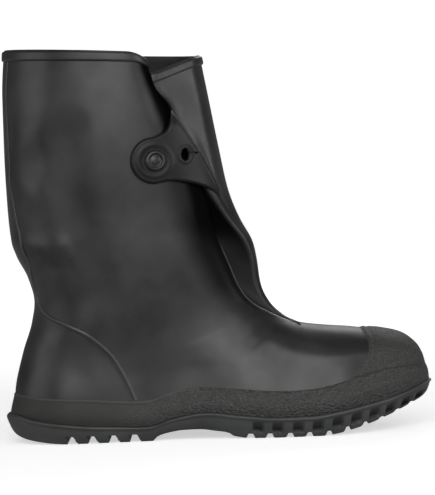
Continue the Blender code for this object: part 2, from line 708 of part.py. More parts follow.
def make_strap():
    """The closure strap: lapped on the flap, over the gusset and round the button."""
    ribs = np.array(STRAP_RIBS)
    start = math.radians(20)
    for turn in np.linspace(start, math.radians(84), 5):
        rise, back = STRAP_END_RADIUS * math.cos(turn), STRAP_END_RADIUS * math.sin(turn)
        ribs = np.vstack([ribs, (BUTTON_X - back, BUTTON_Z - rise, BUTTON_X - back, BUTTON_Z + rise)])
    places, finer = np.arange(len(ribs)), np.linspace(0, len(ribs) - 1, 13)
    ribs = np.stack([smooth(places, values, finer) for values in ribs.T], axis=1)
    width = np.linspace(0, 1, 7)
    x = ribs[:, 0:1] * (1 - width) + ribs[:, 2:3] * width
    z = ribs[:, 1:2] * (1 - width) + ribs[:, 3:4] * width
    grid = np.stack([x, upper_y(x, z, "outer"), z], axis=2)
    strap = overlay("closure_strap", grid, STRAP_LIFT, STRAP_THICK, "upper_rubber")
    cut = strap.modifiers.new("holes", "BOOLEAN")
    cut.operation = "DIFFERENCE"
    cut.solver = "EXACT"
    cut.object = make_strap_holes()
    return strap


def outward_at(x, z):
    """A point of the upper's outer side and the direction straight out of it there."""
    step = 1.0
    place = np.array([x, float(upper_y(x, z, "outer")), z])
    across = np.array([2 * step, float(upper_y(x + step, z, "outer") - upper_y(x - step, z, "outer")), 0])
    up = np.array([0, float(upper_y(x, z + step, "outer") - upper_y(x, z - step, "outer")), 2 * step])
    out = np.cross(across, up)
    out /= np.linalg.norm(out)
    return place, out if out[1] < 0 else -out


def turned_to(made, place, out):
    """Stands an object that was made along Z on the upper, along the direction out of it."""
    made.location = Vector(place * MM)
    made.rotation_mode = "QUATERNION"
    made.rotation_quaternion = Vector((0, 0, 1)).rotation_difference(Vector(out))
    return made


def lathe(profile, segments=16):
    """Points and faces of a profile of radii and heights turned about Z, closed at both ends."""
    angle = np.linspace(0, 2 * math.pi, segments, endpoint=False)
    circle = np.stack([np.cos(angle), np.sin(angle), np.zeros(segments)], axis=1)
    rings = [radius * circle + (0, 0, height) for radius, height in profile]
    faces = grid_faces(len(rings), segments, wrap=True)
    faces.append(list(range(segments)))
    faces.append([(len(rings) - 1) * segments + k for k in range(segments)][::-1])
    return np.concatenate(rings), faces


def make_strap_holes():
    """Cutters for the hole round the button, the spare hole and the slit that lets it stretch."""
    depth = 6.0
    points, faces = lathe([(BUTTON_HOLE_RADIUS, -depth), (BUTTON_HOLE_RADIUS, depth)])
    first = mesh_object("button_hole_cutter", points, faces, "upper_rubber")
    turned_to(first, *outward_at(BUTTON_X, BUTTON_Z))
    points, faces = lathe([(SECOND_HOLE_RADIUS, -depth), (SECOND_HOLE_RADIUS, depth)])
    spare = mesh_object("spare_hole_cutter", points, faces, "upper_rubber")
    turned_to(spare, *outward_at(SECOND_HOLE_X, SECOND_HOLE_Z))
    place, _ = outward_at(SECOND_HOLE_X + SLIT_LENGTH / 2 + SECOND_HOLE_RADIUS * 0.7, SECOND_HOLE_Z)
    half = np.array([SLIT_LENGTH / 2, 2.5 * depth, SLIT_WIDTH / 2])
    corners = np.array([(a, b, c) for a in (-1, 1) for b in (-1, 1) for c in (-1, 1)])
    box = [(0, 1, 3, 2), (4, 6, 7, 5), (0, 4, 5, 1), (2, 3, 7, 6), (0, 2, 6, 4), (1, 5, 7, 3)]
    slit = mesh_object("slit_cutter", place + corners * half, box, "upper_rubber")
    for other in (spare, slit):
        join = first.modifiers.new(other.name, "BOOLEAN")
        join.operation = "UNION"
        join.solver = "EXACT"
        join.object = other
    for cutter in (first, spare, slit):
        cutter.hide_render = True
        cutter.display_type = "WIRE"
    return first


def make_button():
    """The button: a stud on the near panel, through the strap, with a dished round head."""
    points, faces = lathe(BUTTON_PROFILE)
    button = mesh_object("button", points, faces, "button_rubber")
    return turned_to(button, *outward_at(BUTTON_X, BUTTON_Z))


def main():
    for old in list(bpy.data.objects):
        bpy.data.objects.remove(old)
    make_outsole()
    make_upper()
    make_insole()
    make_foxing()
    make_toe_cap()
    make_heel_counter()
    make_collar_band()
    make_strap()
    make_button()


main()
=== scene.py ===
# %% [markdown]
# # A buttoned rubber overshoe
#
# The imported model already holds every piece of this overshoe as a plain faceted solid, at its
# true place and size. This lesson gives each piece its finished surface. A subdivided box
# could be pushed into shape by eye, but a shoe is drawn from a few measured lines, so each
# surface here is a formula over two numbers, worked out on a grid with numpy.

import math

import bmesh
import bpy
import numpy as np
from mathutils import Matrix


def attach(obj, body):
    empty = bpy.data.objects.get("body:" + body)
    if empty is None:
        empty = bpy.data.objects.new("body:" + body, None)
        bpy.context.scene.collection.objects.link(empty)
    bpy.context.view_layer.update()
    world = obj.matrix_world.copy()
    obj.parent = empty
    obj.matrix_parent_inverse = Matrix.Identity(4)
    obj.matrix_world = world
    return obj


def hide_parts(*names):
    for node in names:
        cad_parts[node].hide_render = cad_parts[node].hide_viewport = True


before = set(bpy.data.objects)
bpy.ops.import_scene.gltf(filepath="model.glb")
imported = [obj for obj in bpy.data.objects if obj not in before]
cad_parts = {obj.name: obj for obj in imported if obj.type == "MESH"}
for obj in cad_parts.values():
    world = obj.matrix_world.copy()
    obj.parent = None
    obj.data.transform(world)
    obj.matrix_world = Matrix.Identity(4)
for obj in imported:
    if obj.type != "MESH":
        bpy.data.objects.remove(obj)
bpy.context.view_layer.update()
MM = 0.001
print("pieces in the frame:", ", ".join(sorted(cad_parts)))

# %% [markdown]
# ## Curves through a few measured places
#
# A shoe's lines are measured at a handful of places and flow smoothly between them. Blender's
# curve objects could hold them, but here we need to read a line at thousands of places at
# once, so a cubic that never overshoots its points is worked out directly.

# %% Curve helpers


def smooth(knots, values, at):
    """A cubic through (knots, values), with the harmonic mean of its neighbours as slope."""
    knots, values, at = (np.asarray(a, float) for a in (knots, values, at))
    step = np.diff(knots)
    rise = np.diff(values) / step
    slope = np.zeros_like(values)
    slope[0], slope[-1] = rise[0], rise[-1]
    before, after = rise[:-1], rise[1:]
    climbs = before * after > 0
    slope[1:-1] = np.where(climbs, 2 * before * after / np.where(climbs, before + after, 1.0), 0.0)
    i = np.clip(np.searchsorted(knots, at) - 1, 0, len(step) - 1)
    t = np.clip((at - knots[i]) / step[i], 0, 1)
    start = values[i] * (1 + 2 * t) * (1 - t) ** 2 + slope[i] * step[i] * t * (1 - t) ** 2
    end = values[i + 1] * t * t * (3 - 2 * t) + slope[i + 1] * step[i] * t * t * (t - 1)
    return start + end


def read(table, at):
    """A smooth curve through a dictionary of places and values."""
    return smooth(list(table), list(table.values()), at)


def ease(low, high, at):
    """0 below low, 1 above high, and 3t^2 - 2t^3 between."""
    t = np.clip((np.asarray(at, float) - low) / (high - low), 0, 1)
    return t * t * (3 - 2 * t)


def rounding(share):
    """A quarter circle: the root of 1 - (1 - share)^2, 0 at share 0 and 1 from share 1 on."""
    rest = 1 - np.clip(share, 0, 1)
    return np.sqrt(np.clip(1 - rest * rest, 0, 1))


def bell(distance, width):
    """A soft hump: (1 - (distance / width)^2)^2, 1 in the middle and 0 from the width on."""
    share = np.clip(np.abs(distance) / width, 0, 1)
    return (1 - share * share) ** 2


print("half way up a curve from 0 to 10:", float(read({0: 0, 1: 10}, 0.5)))

# %% [markdown]
# ## The lines of the sole
#
# Every overshoe starts from its sole: the plan, the top line with its lip and toe spring, and
# the tread line with heel and arch. Curve objects could be drawn for them, but a short table
# that is read as a smooth curve can be measured and changed row by row. The tables are in
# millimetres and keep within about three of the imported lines, so the fine surfaces lie close
# over the plain ones.

# %% Sole lines
LENGTH = 310.0
UPPER_HEEL_X, UPPER_TOE_X = -147.5, 150.3
SEAT_GAP = 0.5
HEEL_ROUND, TOE_ROUND = 45.0, 74.0
FEATHER_SHARE = 0.865
PLAN_OUTER = {
    -155: 42.0, -110: 43.0, -60: 43.0, -20: 45.0, 20: 52.0, 55: 57.5, 85: 57.5, 120: 53.0, 155: 47.0,
}
PLAN_INNER = {
    -155: 42.0, -110: 42.5, -60: 41.0, -20: 39.5, 20: 46.0, 55: 54.5, 85: 57.5, 120: 57.0, 155: 55.0,
}
PLANS = {"outer": PLAN_OUTER, "inner": PLAN_INNER}
SIDES = {"outer": -1.0, "inner": 1.0}
SOLE_TOP = {
    -155: 20.6, -149: 21.4, -144: 20.9, -132: 17.8, -113: 15.0, -91: 12.5, -70: 11.5, -55: 10.7, -46: 11.6,
    -36: 14.8, -27: 17.0, -10: 19.4, 16: 16.6, 41: 14.6, 64: 14.5, 87: 17.4, 112: 21.9, 125: 24.6,
    135: 27.4, 146: 31.0, 155: 33.4,
}
TREAD = {
    -155: 14.6, -150: 8.6, -144: 5.2, -137: 3.2, -126: 1.5, -116: 0.5, -106: 0.0, -48: 0.0,
    -44: 3.4, -35: 5.8, -26: 7.0, -14: 7.2, -3: 5.8, 6: 4.4, 10: 1.9, 24: 0.0, 73: 0.0, 84: 1.4, 97: 4.3,
    109: 7.6, 121: 11.6, 135: 17.0, 150: 22.8, 155: 25.6,
}


def plan_half_width(x, side):
    """Half width of the sole at x, times a quarter circle over the toe; open at the heel."""
    x = np.asarray(x, float)
    return read(PLANS[side], x) * rounding((LENGTH / 2 - x) / TOE_ROUND)


def sole_half_width(x, side):
    """Half width of the sole at x, with its round toe and a quarter circle over the heel."""
    return plan_half_width(x, side) * rounding((np.asarray(x, float) + LENGTH / 2) / HEEL_ROUND)


def foot_half_width(x, side):
    """The sole's plan drawn in to the upper, stretched so that both end at the same share."""
    share = (np.asarray(x, float) - UPPER_HEEL_X) / (UPPER_TOE_X - UPPER_HEEL_X)
    return FEATHER_SHARE * plan_half_width((share - 0.5) * LENGTH, side)


def feather_height(x):
    """Height of the upper's lower edge: the sole's top plus a small gap."""
    return read(SOLE_TOP, x) + SEAT_GAP


print("ball width %.1f mm" % (sole_half_width(70, "outer") + sole_half_width(70, "inner")))

# %% [markdown]
# ## The fan of sections
#
# The upper turns a corner from the leg to the foot, so flat slices would be very uneven. A
# fan of sections solves that: each section is a straight line in the side view, from the
# front ridge to the back or to the feather line, and the fan swings round the ankle. Row by
# row the table gives both ends of the line and how far from the ridge it is at full width.

# %% Sections of the upper
SECTION_COLUMNS = ("front_x", "front_z", "back_x", "back_z", "front_round")
SECTIONS = [
    (-3.0, 273.4, -145.0, 282.5, 74.0),
    (1.5, 246.0, -147.3, 250.0, 75.0),
    (8.0, 206.0, -147.6, 206.0, 77.0),
    (13.5, 176.0, -147.0, 174.0, 80.0),
    (21.0, 155.0, -145.8, 152.0, 84.0),
    (30.0, 137.0, -142.0, 135.0, 88.0),
    (32.5, 122.0, -134.0, 118.0, 88.0),
    (33.5, 111.0, -130.2, 101.0, 86.0),
    (35.0, 104.0, -132.6, 86.0, 84.0),
    (37.0, 99.0, -140.0, 64.0, 82.0),
    (39.5, 94.5, -145.5, 42.0, 80.0),
    (42.0, 91.0, UPPER_HEEL_X, None, 78.0),
    (44.5, 88.3, -136.0, None, 76.0),
    (47.0, 86.0, -110.0, None, 74.0),
    (50.0, 83.6, -70.0, None, 70.0),
    (54.0, 81.0, -20.0, None, 64.0),
    (62.0, 77.8, 25.0, None, 58.0),
    (78.0, 75.4, 62.0, None, 54.0),
    (98.0, 73.3, 90.0, None, 52.0),
    (115.5, 70.3, 108.0, None, 48.0),
    (132.0, 66.4, 116.0, None, 44.0),
    (143.0, 58.4, 120.0, None, 36.0),
    (148.4, 47.6, 123.0, None, 28.0),
    (150.1, 38.1, 125.0, None, 20.0),
    (UPPER_TOE_X, None, 126.5, None, 12.0),
]
HEEL_CORNER = 11
SECTION_NUMBERS = np.arange(len(SECTIONS))


def on_feather(x, z):
    """A height of the table, or the feather line's where the table leaves it open."""
    return float(feather_height(x)) if z is None else z


SECTION_TABLE = np.array([
    (fx, on_feather(fx, fz), bx, on_feather(bx, bz), fr) for fx, fz, bx, bz, fr in SECTIONS
])


def section_column(name, at):
    """A named column of the section table, read at any place between the sections."""
    return smooth(SECTION_NUMBERS, SECTION_TABLE[:, SECTION_COLUMNS.index(name)], at)


def section_ends(at):
    """Front and back ends of a section's line; past the heel corner it stands on the feather."""
    front_x, front_z = section_column("front_x", at), section_column("front_z", at)
    back_x, back_z = section_column("back_x", at), section_column("back_z", at)
    return front_x, front_z, back_x, np.where(np.asarray(at) >= HEEL_CORNER, feather_height(back_x), back_z)


print(len(SECTIONS), "sections, collar at %.0f mm" % SECTION_TABLE[0, 3])

# %% [markdown]
# ## How wide the upper is
#
# The upper could be sculpted by hand, but then no plate could find the same skin again. So at
# any point of the side view one formula gives the half width. The leg is an oval between its
# front and back. The foot is the sole's plan times an arch that closes over the ridge. Both
# are blended by height and by section, so vamp, ankle and shaft are one flowing wall.

# %% Half width of the upper
LEG_HALF_WIDTH = {60: 41.0, 110: 44.5, 140: 46.6, 200: 51.0, 232: 52.2, 285: 51.4}
BACK_ROUND = {20: 43.0, 60: 45.0, 110: 52.0, 160: 66.0, 285: 70.0}
LEG_FROM_Z, LEG_TO_Z = 45.0, 120.0
FOOT_FROM, FOOT_TO = 13.0, 17.0
TUCK_HEIGHT, TUCK_SHARE = 14.0, 0.05
ARCH_LEAN, ARCH_ROUND, ARCH_STARTS = 0.3, 0.44, 10.0
FRONT_X, FRONT_Z, BACK_X, BACK_Z = SECTION_TABLE[:, :4].T


def back_line(z):
    """The back of the upper at height z."""
    return smooth(BACK_Z[HEEL_CORNER::-1], BACK_X[HEEL_CORNER::-1], z)


def ridge_height(x):
    """The height of the front ridge above x."""
    return smooth(FRONT_X, FRONT_Z, x)


def half_width(x, z, at, from_front, side):
    """Plan or leg width, times front round or arch, times back round, times the tuck below."""
    leg = ease(LEG_FROM_Z, LEG_TO_Z, z)
    slab = (1 - leg) * foot_half_width(x, side) + leg * read(LEG_HALF_WIDTH, z)
    foot = ease(FOOT_FROM, FOOT_TO, at)
    plan = (1 - foot) * slab + foot * foot_half_width(x, side)
    front = rounding(from_front / section_column("front_round", at))
    base = feather_height(x) + ARCH_STARTS
    rise = np.clip((z - base) / np.maximum(ridge_height(x) - base, 1e-6), 0, 1)
    arch = (1 - ARCH_LEAN * rise) * rounding((1 - rise) / ARCH_ROUND)
    back = rounding((x - back_line(z)) / read(BACK_ROUND, z))
    tuck = 1 - TUCK_SHARE * np.clip(1 - (z - feather_height(x)) / TUCK_HEIGHT, 0, 1) ** 2
    return plan * ((1 - foot) * front + foot * arch) * back * tuck


print("leg is %.0f mm wide at its widest" % (2 * max(LEG_HALF_WIDTH.values())))

# %% [markdown]
# ## A place on the skin
#
# Plates, strap and button are placed by where they show in the side view, so we need the
# skin over any such place. A ray cast would find it on a finished mesh, but here there is no
# mesh yet. Halving finds the section whose line passes through the place, and then the
# formula above gives the width.

# %% Places on the skin
HALVINGS = 30


def section_at(x, z):
    """The section whose line passes through each point of the side view, by halving."""
    low, high = np.zeros(np.shape(x)), np.full(np.shape(x), len(SECTIONS) - 1.0)
    for _ in range(HALVINGS):
        middle = (low + high) / 2
        front_x, front_z, end_x, end_z = section_ends(middle)
        ahead = (end_x - front_x) * (z - front_z) - (end_z - front_z) * (x - front_x) > 0
        low, high = np.where(ahead, middle, low), np.where(ahead, high, middle)
    return (low + high) / 2


def skin(x, z, side):
    """The point of the upper's outer face at a place of the side view, bridging the gusset."""
    x, z = np.broadcast_arrays(np.asarray(x, float), np.asarray(z, float))
    at = section_at(x, z)
    front_x, front_z, _, _ = section_ends(at)
    y = SIDES[side] * half_width(x, z, at, np.hypot(x - front_x, z - front_z), side)
    return np.stack([x, y, z], axis=-1)


def both_sides(x, z, across):
    """The skin on the outer side where across is negative, else on the inner, 0 in the middle."""
    place = np.where((across < 0)[..., None], skin(x, z, "outer"), skin(x, z, "inner"))
    place[..., 1] = np.where(across == 0, 0.0, place[..., 1])
    return place


print("200 mm up, behind the strap, the leg is %.0f mm wide" % (2 * abs(skin(-60, 200, "outer")[1])))

# %% [markdown]
# ## Creases placed one by one
#
# Soft rubber never stands quite true. The leg has long shallow hollows, a fold above the
# heel and a dent on the vamp. A noise texture would scatter dents anywhere, so each crease is
# a row here instead: a bent line in the side view, how wide it is and how far it rises or
# sinks. The last four rows are no creases but fullness: along the lower vamp, over the
# instep and at the heel.

# %% Creases
CREASE_COLUMNS = ("side", "half_width", "height", "line")
LEG_HOLLOW = [(-99, 222), (-98, 175), (-92, 140), (-84, 107)]
LONG_HOLLOW = [*LEG_HOLLOW, (-76, 75), (-63, 42), (-54, 15)]
CREASES = [
    ("outer", 18, -1.1, [(-126, 200), (-106, 216)]),
    ("outer", 23, -1.1, LEG_HOLLOW),
    ("outer", 23, -1.0, LONG_HOLLOW),
    ("outer", 16, 1.4, [(-134, 189), (-126, 179)]),
    ("outer", 10, 1.4, [(-140, 143), (-124, 140), (-108, 142)]),
    ("outer", 9, -1.1, [(-132, 129), (-106, 127)]),
    ("outer", 12, -0.8, [(70, 68), (88, 66)]),
    ("inner", 22, -1.3, [(-118, 232), (-70, 214)]),
    ("inner", 22, -1.6, [(-70, 190), (-66, 150), (-62, 112)]),
    ("inner", 9, 1.2, [(-138, 140), (-106, 142)]),
    ("inner", 10, -1.0, [(-130, 128), (-98, 130)]),
    ("inner", 18, -1.2, [(-40, 112), (10, 82)]),
    ("inner", 11, -1.0, [(50, 69), (84, 66)]),
    ("outer", 28, 0.8, [(-20, 26), (40, 24), (90, 31)]),
    ("outer", 26, 0.9, [(-12, 28), (25, 27)]),
    ("outer", 17, 1.0, [(24, 83), (42, 77), (60, 72)]),
    ("outer", 30, 1.6, [(-142, 32), (-112, 28)]),
]
CREASE_FADE = 12.0


def line_distance(x, z, line):
    """Distance in the side view from each place to the nearest point of a bent line."""
    nearest = np.full(np.shape(x), np.inf)
    for (from_x, from_z), (to_x, to_z) in zip(line[:-1], line[1:]):
        run_x, run_z = to_x - from_x, to_z - from_z
        share = ((x - from_x) * run_x + (z - from_z) * run_z) / (run_x**2 + run_z**2)
        share = np.clip(share, 0, 1)
        nearest = np.minimum(nearest, np.hypot(x - from_x - share * run_x, z - from_z - share * run_z))
    return nearest


def creased(x, z, y):
    """Rise of the skin over its true form: the sum of each crease's height times its bell."""
    rise = np.zeros(np.shape(x))
    for side, half, height, line in CREASES:
        rise += ease(0, CREASE_FADE, SIDES[side] * y) * height * bell(line_distance(x, z, line), half)
    return rise


crease_heights = [row[CREASE_COLUMNS.index("height")] for row in CREASES]
print(len(CREASES), "creases, deepest %.1f mm" % -min(crease_heights))

# %% [markdown]
# ## Turning grids into meshes
#
# A grid of points becomes quads between neighbours. Blender works out normals for a mesh, but
# a plate has to be lifted along them before it is one, so here they come from the cross
# product of the grid's two directions.

# %% Grid helpers


def grid_faces(rows, columns, wrap=False):
    """Quads between neighbouring rows and columns, closed into a ring where wrap is set."""
    i, j = np.meshgrid(np.arange(rows - 1), np.arange(columns if wrap else columns - 1), indexing="ij")
    after = (j + 1) % columns
    corners = [i * columns + j, i * columns + after, (i + 1) * columns + after, (i + 1) * columns + j]
    return np.stack(corners, axis=-1).reshape(-1, 4)


def normals_of(grid, wrap=False):
    """Unit cross products of the grid's two directions, facing away from the middle plane."""
    padded = np.concatenate([grid[:, -1:], grid, grid[:, :1]], axis=1) if wrap else grid
    out = np.cross(np.gradient(padded, axis=0), np.gradient(padded, axis=1))
    out = out[:, 1:-1] if wrap else out
    out = out / np.maximum(np.linalg.norm(out, axis=2, keepdims=True), 1e-9)
    return out if np.sum(out[..., 1] * grid[..., 1]) > 0 else -out


def relaxed(grid, times):
    """Each inner point moved half way to the mean of its four neighbours, several times."""
    grid = grid.copy()
    for _ in range(times):
        around = grid[:-2, 1:-1] + grid[2:, 1:-1] + grid[1:-1, :-2] + grid[1:-1, 2:]
        grid[1:-1, 1:-1] = grid[1:-1, 1:-1] / 2 + around / 8
    return grid


print("a grid of 4 x 5 points has", len(grid_faces(4, 5)), "quads")

# %% [markdown]
# ## From points to a closed piece
#
# Blender's from_pydata takes points and faces as they are. Seams and poles still have doubled
# points then, so they are welded first. After that the volume is measured: a positive one
# means that the faces point out, and a negative one means that they must be flipped. Numbers
# for each point, such as how strong a painted highlight is there, go along as attributes for
# the finishes.

# %% Closed pieces
WELD, SLIVER = 1e-6, 1e-7


def new_piece(name, points, faces, sharp=50.0, **marks):
    """A closed mesh object from points in millimetres, welded and turned to face outwards.

    Each mark is a number for every point, which the finish can read by its name.
    """
    mesh = bpy.data.meshes.new(name)
    mesh.from_pydata((np.reshape(points, (-1, 3)) * MM).tolist(), [], np.asarray(faces).tolist())
    for mark, values in marks.items():
        mesh.attributes.new(mark, "FLOAT", "POINT").data.foreach_set("value", np.ravel(values))
    work = bmesh.new()
    work.from_mesh(mesh)
    bmesh.ops.remove_doubles(work, verts=work.verts, dist=WELD)
    bmesh.ops.dissolve_degenerate(work, edges=work.edges, dist=SLIVER)
    if work.calc_volume(signed=True) < 0:
        bmesh.ops.reverse_faces(work, faces=work.faces)
    open_edges = sum(not edge.is_manifold for edge in work.edges)
    work.to_mesh(mesh)
    work.free()
    mesh.shade_smooth()
    mesh.set_sharp_from_angle(angle=math.radians(sharp))
    made = bpy.data.objects.new(name, mesh)
    bpy.context.scene.collection.objects.link(made)
    print("%s: %d faces, %d open edges" % (name, len(mesh.polygons), open_edges))
    return made


print("points closer than %.3f mm are welded" % (WELD / MM))

# %% [markdown]
# ## The folded front gusset
#
# Under the strap the upper is pleated: the near panel ends in a round lip, a web dives in
# behind it, and the flap comes out again and runs on over the front ridge. It is moulded with
# the rest of the wall, so it stays part of the same sheet: separate sheets would leave seams
# to hide. For each section the table says where the two folds lie, how deep the web sags, how
# long and deep the near lip is, how far the flap hangs below the collar and how strongly shade
# is painted into the folds.

# %% Gusset folds
GUSSET_COLUMNS = ("section", "near_fold", "flap_fold", "sag", "lip", "depth", "drop", "shelter")
GUSSET = np.array([
    (0.0, 33.9, 34.5, 17.0, 20.0, 10.0, 15.0, 1.0),
    (0.3, 33.0, 34.0, 17.0, 21.0, 10.0, 14.5, 1.0),
    (0.9, 29.2, 31.5, 17.0, 24.0, 11.0, 5.0, 1.0),
    (1.2, 26.0, 27.0, 17.0, 26.0, 12.0, 1.5, 1.0),
    (2.0, 14.4, 21.5, 16.0, 28.0, 13.0, 0.0, 1.0),
    (3.0, 7.4, 14.0, 15.0, 28.0, 13.0, 0.0, 1.0),
    (4.0, 12.3, 7.5, 14.0, 26.0, 12.0, 0.0, 1.0),
    (5.0, 16.4, 4.2, 12.0, 22.0, 10.0, 0.0, 0.95),
    (6.0, 14.5, 2.5, 10.0, 18.0, 8.0, 0.0, 0.9),
    (7.0, 12.8, 2.2, 8.0, 13.0, 6.5, 0.0, 0.86),
    (9.0, 10.2, 2.0, 5.0, 7.0, 4.0, 0.0, 0.7),
    (12.0, 4.7, 1.4, 2.8, 2.4, 2.2, 0.0, 0.3),
    (14.0, 2.4, 0.8, 1.7, 1.4, 1.4, 0.0, 0.0),
    (15.5, 1.4, 0.6, 0.4, 1.0, 1.0, 0.0, 0.0),
    (16.5, 4.0, 1.6, 0.0, 1.5, 1.5, 0.0, 0.0),
    (18.0, 14.0, 6.0, 0.0, 4.0, 4.0, 0.0, 0.0),
    (24.0, 8.0, 3.0, 0.0, 2.0, 2.0, 0.0, 0.0),
])
FOLD_SAG = 2.0
FLAP_LIP, FLAP_LIP_ROUND, FLAP_LIP_MOST = 1.5, 2.2, 0.6
RIM_DROP, RIM_DROP_RUN = 5.0, 18.0
RIM_DROP_FROM, RIM_DROP_TO = 0.3, 1.4
WEB_ROUND, LIP_CROWD = 0.7, 1.7
PANEL, LIP, WEB, FLAP, INNER = 86, 36, 28, 34, 98
OUTER = PANEL + LIP + WEB + FLAP
LIP_TURN = np.pi / 2 * (1 - (1 - np.linspace(0, 1, LIP)) ** LIP_CROWD)


def gusset_column(name, at):
    """A named column of the gusset table, read at any section."""
    return smooth(GUSSET[:, 0], GUSSET[:, GUSSET_COLUMNS.index(name)], at)


def outer_half(at, length):
    """Run from the ridge, sinking and drop of each column, from the back to the ridge.

    The panel thins out as a cosine, the lip is a quarter ellipse, the web is a sine to a power
    between the folds, and the flap starts with a small rolled edge.
    """
    near, flap, sag, lip, depth, drop = (gusset_column(name, at) for name in GUSSET_COLUMNS[1:-1])
    fold = ease(0, FOLD_SAG, sag)
    panel = near + lip + (length - near - lip) * np.cos(np.linspace(0, np.pi / 2, PANEL, endpoint=False))
    lip_run, lip_in = near + lip * (1 - np.sin(LIP_TURN)), depth * (1 - np.cos(LIP_TURN)) * fold
    web = (1 - np.cos(np.linspace(0, np.pi, WEB + 2)[1:-1])) / 2
    web_run = near + (flap - near) * web
    web_in = fold * (depth * (1 - web) + FLAP_LIP * web) + sag * np.sin(np.pi * web) ** WEB_ROUND
    flap_run = flap * (1 - np.sin(np.linspace(0, np.pi / 2, FLAP, endpoint=False)))
    roll = 1 - rounding((flap - flap_run) / np.minimum(FLAP_LIP_ROUND, FLAP_LIP_MOST * flap))
    run = np.concatenate([panel, lip_run, web_run, flap_run], axis=1)
    sunk = np.concatenate([0 * panel, lip_in, web_in, FLAP_LIP * fold * roll], axis=1)
    near_run = np.concatenate([panel, lip_run], axis=1) - near
    near_drop = RIM_DROP * np.clip(1 - near_run / RIM_DROP_RUN, 0, 1) ** 2
    near_drop = near_drop * (1 - ease(RIM_DROP_FROM, RIM_DROP_TO, at))
    web_drop = near_drop[:, -1:] * (1 - web) + drop * web
    dropped = np.concatenate([near_drop, web_drop, drop * flap_run / flap], axis=1)
    return run, sunk, dropped


print("the web sags by %.0f mm at the collar" % gusset_column("sag", 0.0))

# %% [markdown]
# ## The sheet of the upper
#
# A row of the sheet follows one section: from the back along the outer side, through the
# folds to the ridge, and along the inner side to the back again. A loft through curve objects
# would be near it, but here every point can be sunk into the folds as well. The rows are
# spread so that they lie evenly along the shoe's outline.

# %% Sheet of the upper
SHEET_ROWS, OUTLINE_STEPS = 156, 1201
WEB_AIM_BACK = 62.0


def upper_sheet(places):
    """The outer face of the upper at an array of sections: back, outer side, ridge, inner side."""
    at = np.asarray(places, float)[:, None]
    front_x, front_z, end_x, end_z = section_ends(at)
    length = np.hypot(end_x - front_x, end_z - front_z)
    run, sunk, dropped = outer_half(at, length)
    inner_run = length * (1 - np.cos(np.linspace(0, np.pi, INNER))) / 2
    all_run = np.concatenate([run, inner_run], axis=1)
    x = front_x + (end_x - front_x) * all_run / length
    z = np.maximum(front_z + (end_z - front_z) * all_run / length, feather_height(x))
    outer = -half_width(x[:, :OUTER], z[:, :OUTER], at, all_run[:, :OUTER], "outer")
    inner = half_width(x[:, OUTER:], z[:, OUTER:], at, all_run[:, OUTER:], "inner")
    y = np.concatenate([outer, inner], axis=1)
    y[:, [0, -1]] = np.where(at <= HEEL_CORNER, 0.0, y[:, [0, -1]])
    middle = PANEL + LIP + WEB // 2
    aim_x, aim_y = front_x - WEB_AIM_BACK - x[:, middle : middle + 1], -y[:, middle : middle + 1]
    reach = np.hypot(aim_x, aim_y)
    x[:, :OUTER] += aim_x / reach * sunk
    y[:, :OUTER] += aim_y / reach * sunk
    z[:, :OUTER] -= dropped
    return np.stack([x, y, z], axis=2)


def section_places(count):
    """Sections spread so that their ends lie evenly along the shoe's outline."""
    fine = np.linspace(0, len(SECTIONS) - 1, OUTLINE_STEPS)
    front_x, front_z, end_x, end_z = section_ends(fine)
    end_y = half_width(end_x, end_z, fine, np.hypot(end_x - front_x, end_z - front_z), "outer")
    end_y[fine <= HEEL_CORNER] = 0.0
    front = np.hypot(np.diff(front_x), np.diff(front_z))
    end = np.sqrt(np.diff(end_x) ** 2 + np.diff(end_y) ** 2 + np.diff(end_z) ** 2)
    along = np.concatenate([[0], np.cumsum(np.maximum(front, end))])
    return np.interp(np.linspace(0, along[-1], count), along, fine)


places = section_places(SHEET_ROWS)
sheet = upper_sheet(places)
print("sheet of %d x %d points" % sheet.shape[:2])

# %% [markdown]
# ## The bead, the groove and the flap's face
#
# Three small forms give the front its drawing. The near fold has a thin bead that catches the
# light. Low beside the strap the flap has a groove. And higher up it stands out as a flat
# face, which turns over the front in a soft fold. They could be sculpted by hand, but as
# formulas they keep their places when a section changes. Bead and groove rise along the
# sheet's own normals, and the face moves straight out to the side.

# %% Detail of the sheet
STRAP_CREASE = {
    158.5: 12.5, 176.3: 4.1, 186.7: 0.0, 195.9: -4.2, 206.4: -8.3, 215.6: -12.5, 223.8: -16.7, 233.1: -22.0,
    242.4: -27.3,
}
BEAD_HEIGHT, BEAD_WIDTH, BEAD_TURN = 0.7, 2.1, math.radians(62)
BEAD_STARTS, BEAD_ENDS = (4.3, 5.4), (10.6, 13.0)
GROOVE_DEPTH, GROOVE_WIDTH, GROOVE_BEYOND = 1.1, 2.6, 2.2
GROOVE_STARTS, GROOVE_ENDS = (150, 164), (200, 222)
FACE_OUT, FACE_SLOPE, FACE_ROUND = 24.3, 0.56, 10.0
FACE_STARTS = (160, 192)
BACK_COLUMNS, SHEET_RELAX = 6, 2


def near_bead(at):
    """The near fold's bead, section by section: a bell of the distance to a place on the lip."""
    lip, depth = gusset_column("lip", at), gusset_column("depth", at)
    along = lip * (np.sin(LIP_TURN) - math.sin(BEAD_TURN))
    inward = depth * (np.cos(LIP_TURN) - math.cos(BEAD_TURN))
    bead = np.zeros((len(at), OUTER + INNER))
    bead[:, PANEL : PANEL + LIP] = bell(np.hypot(along, inward), BEAD_WIDTH)
    return ease(*BEAD_STARTS, at) * (1 - ease(*BEAD_ENDS, at)) * bead


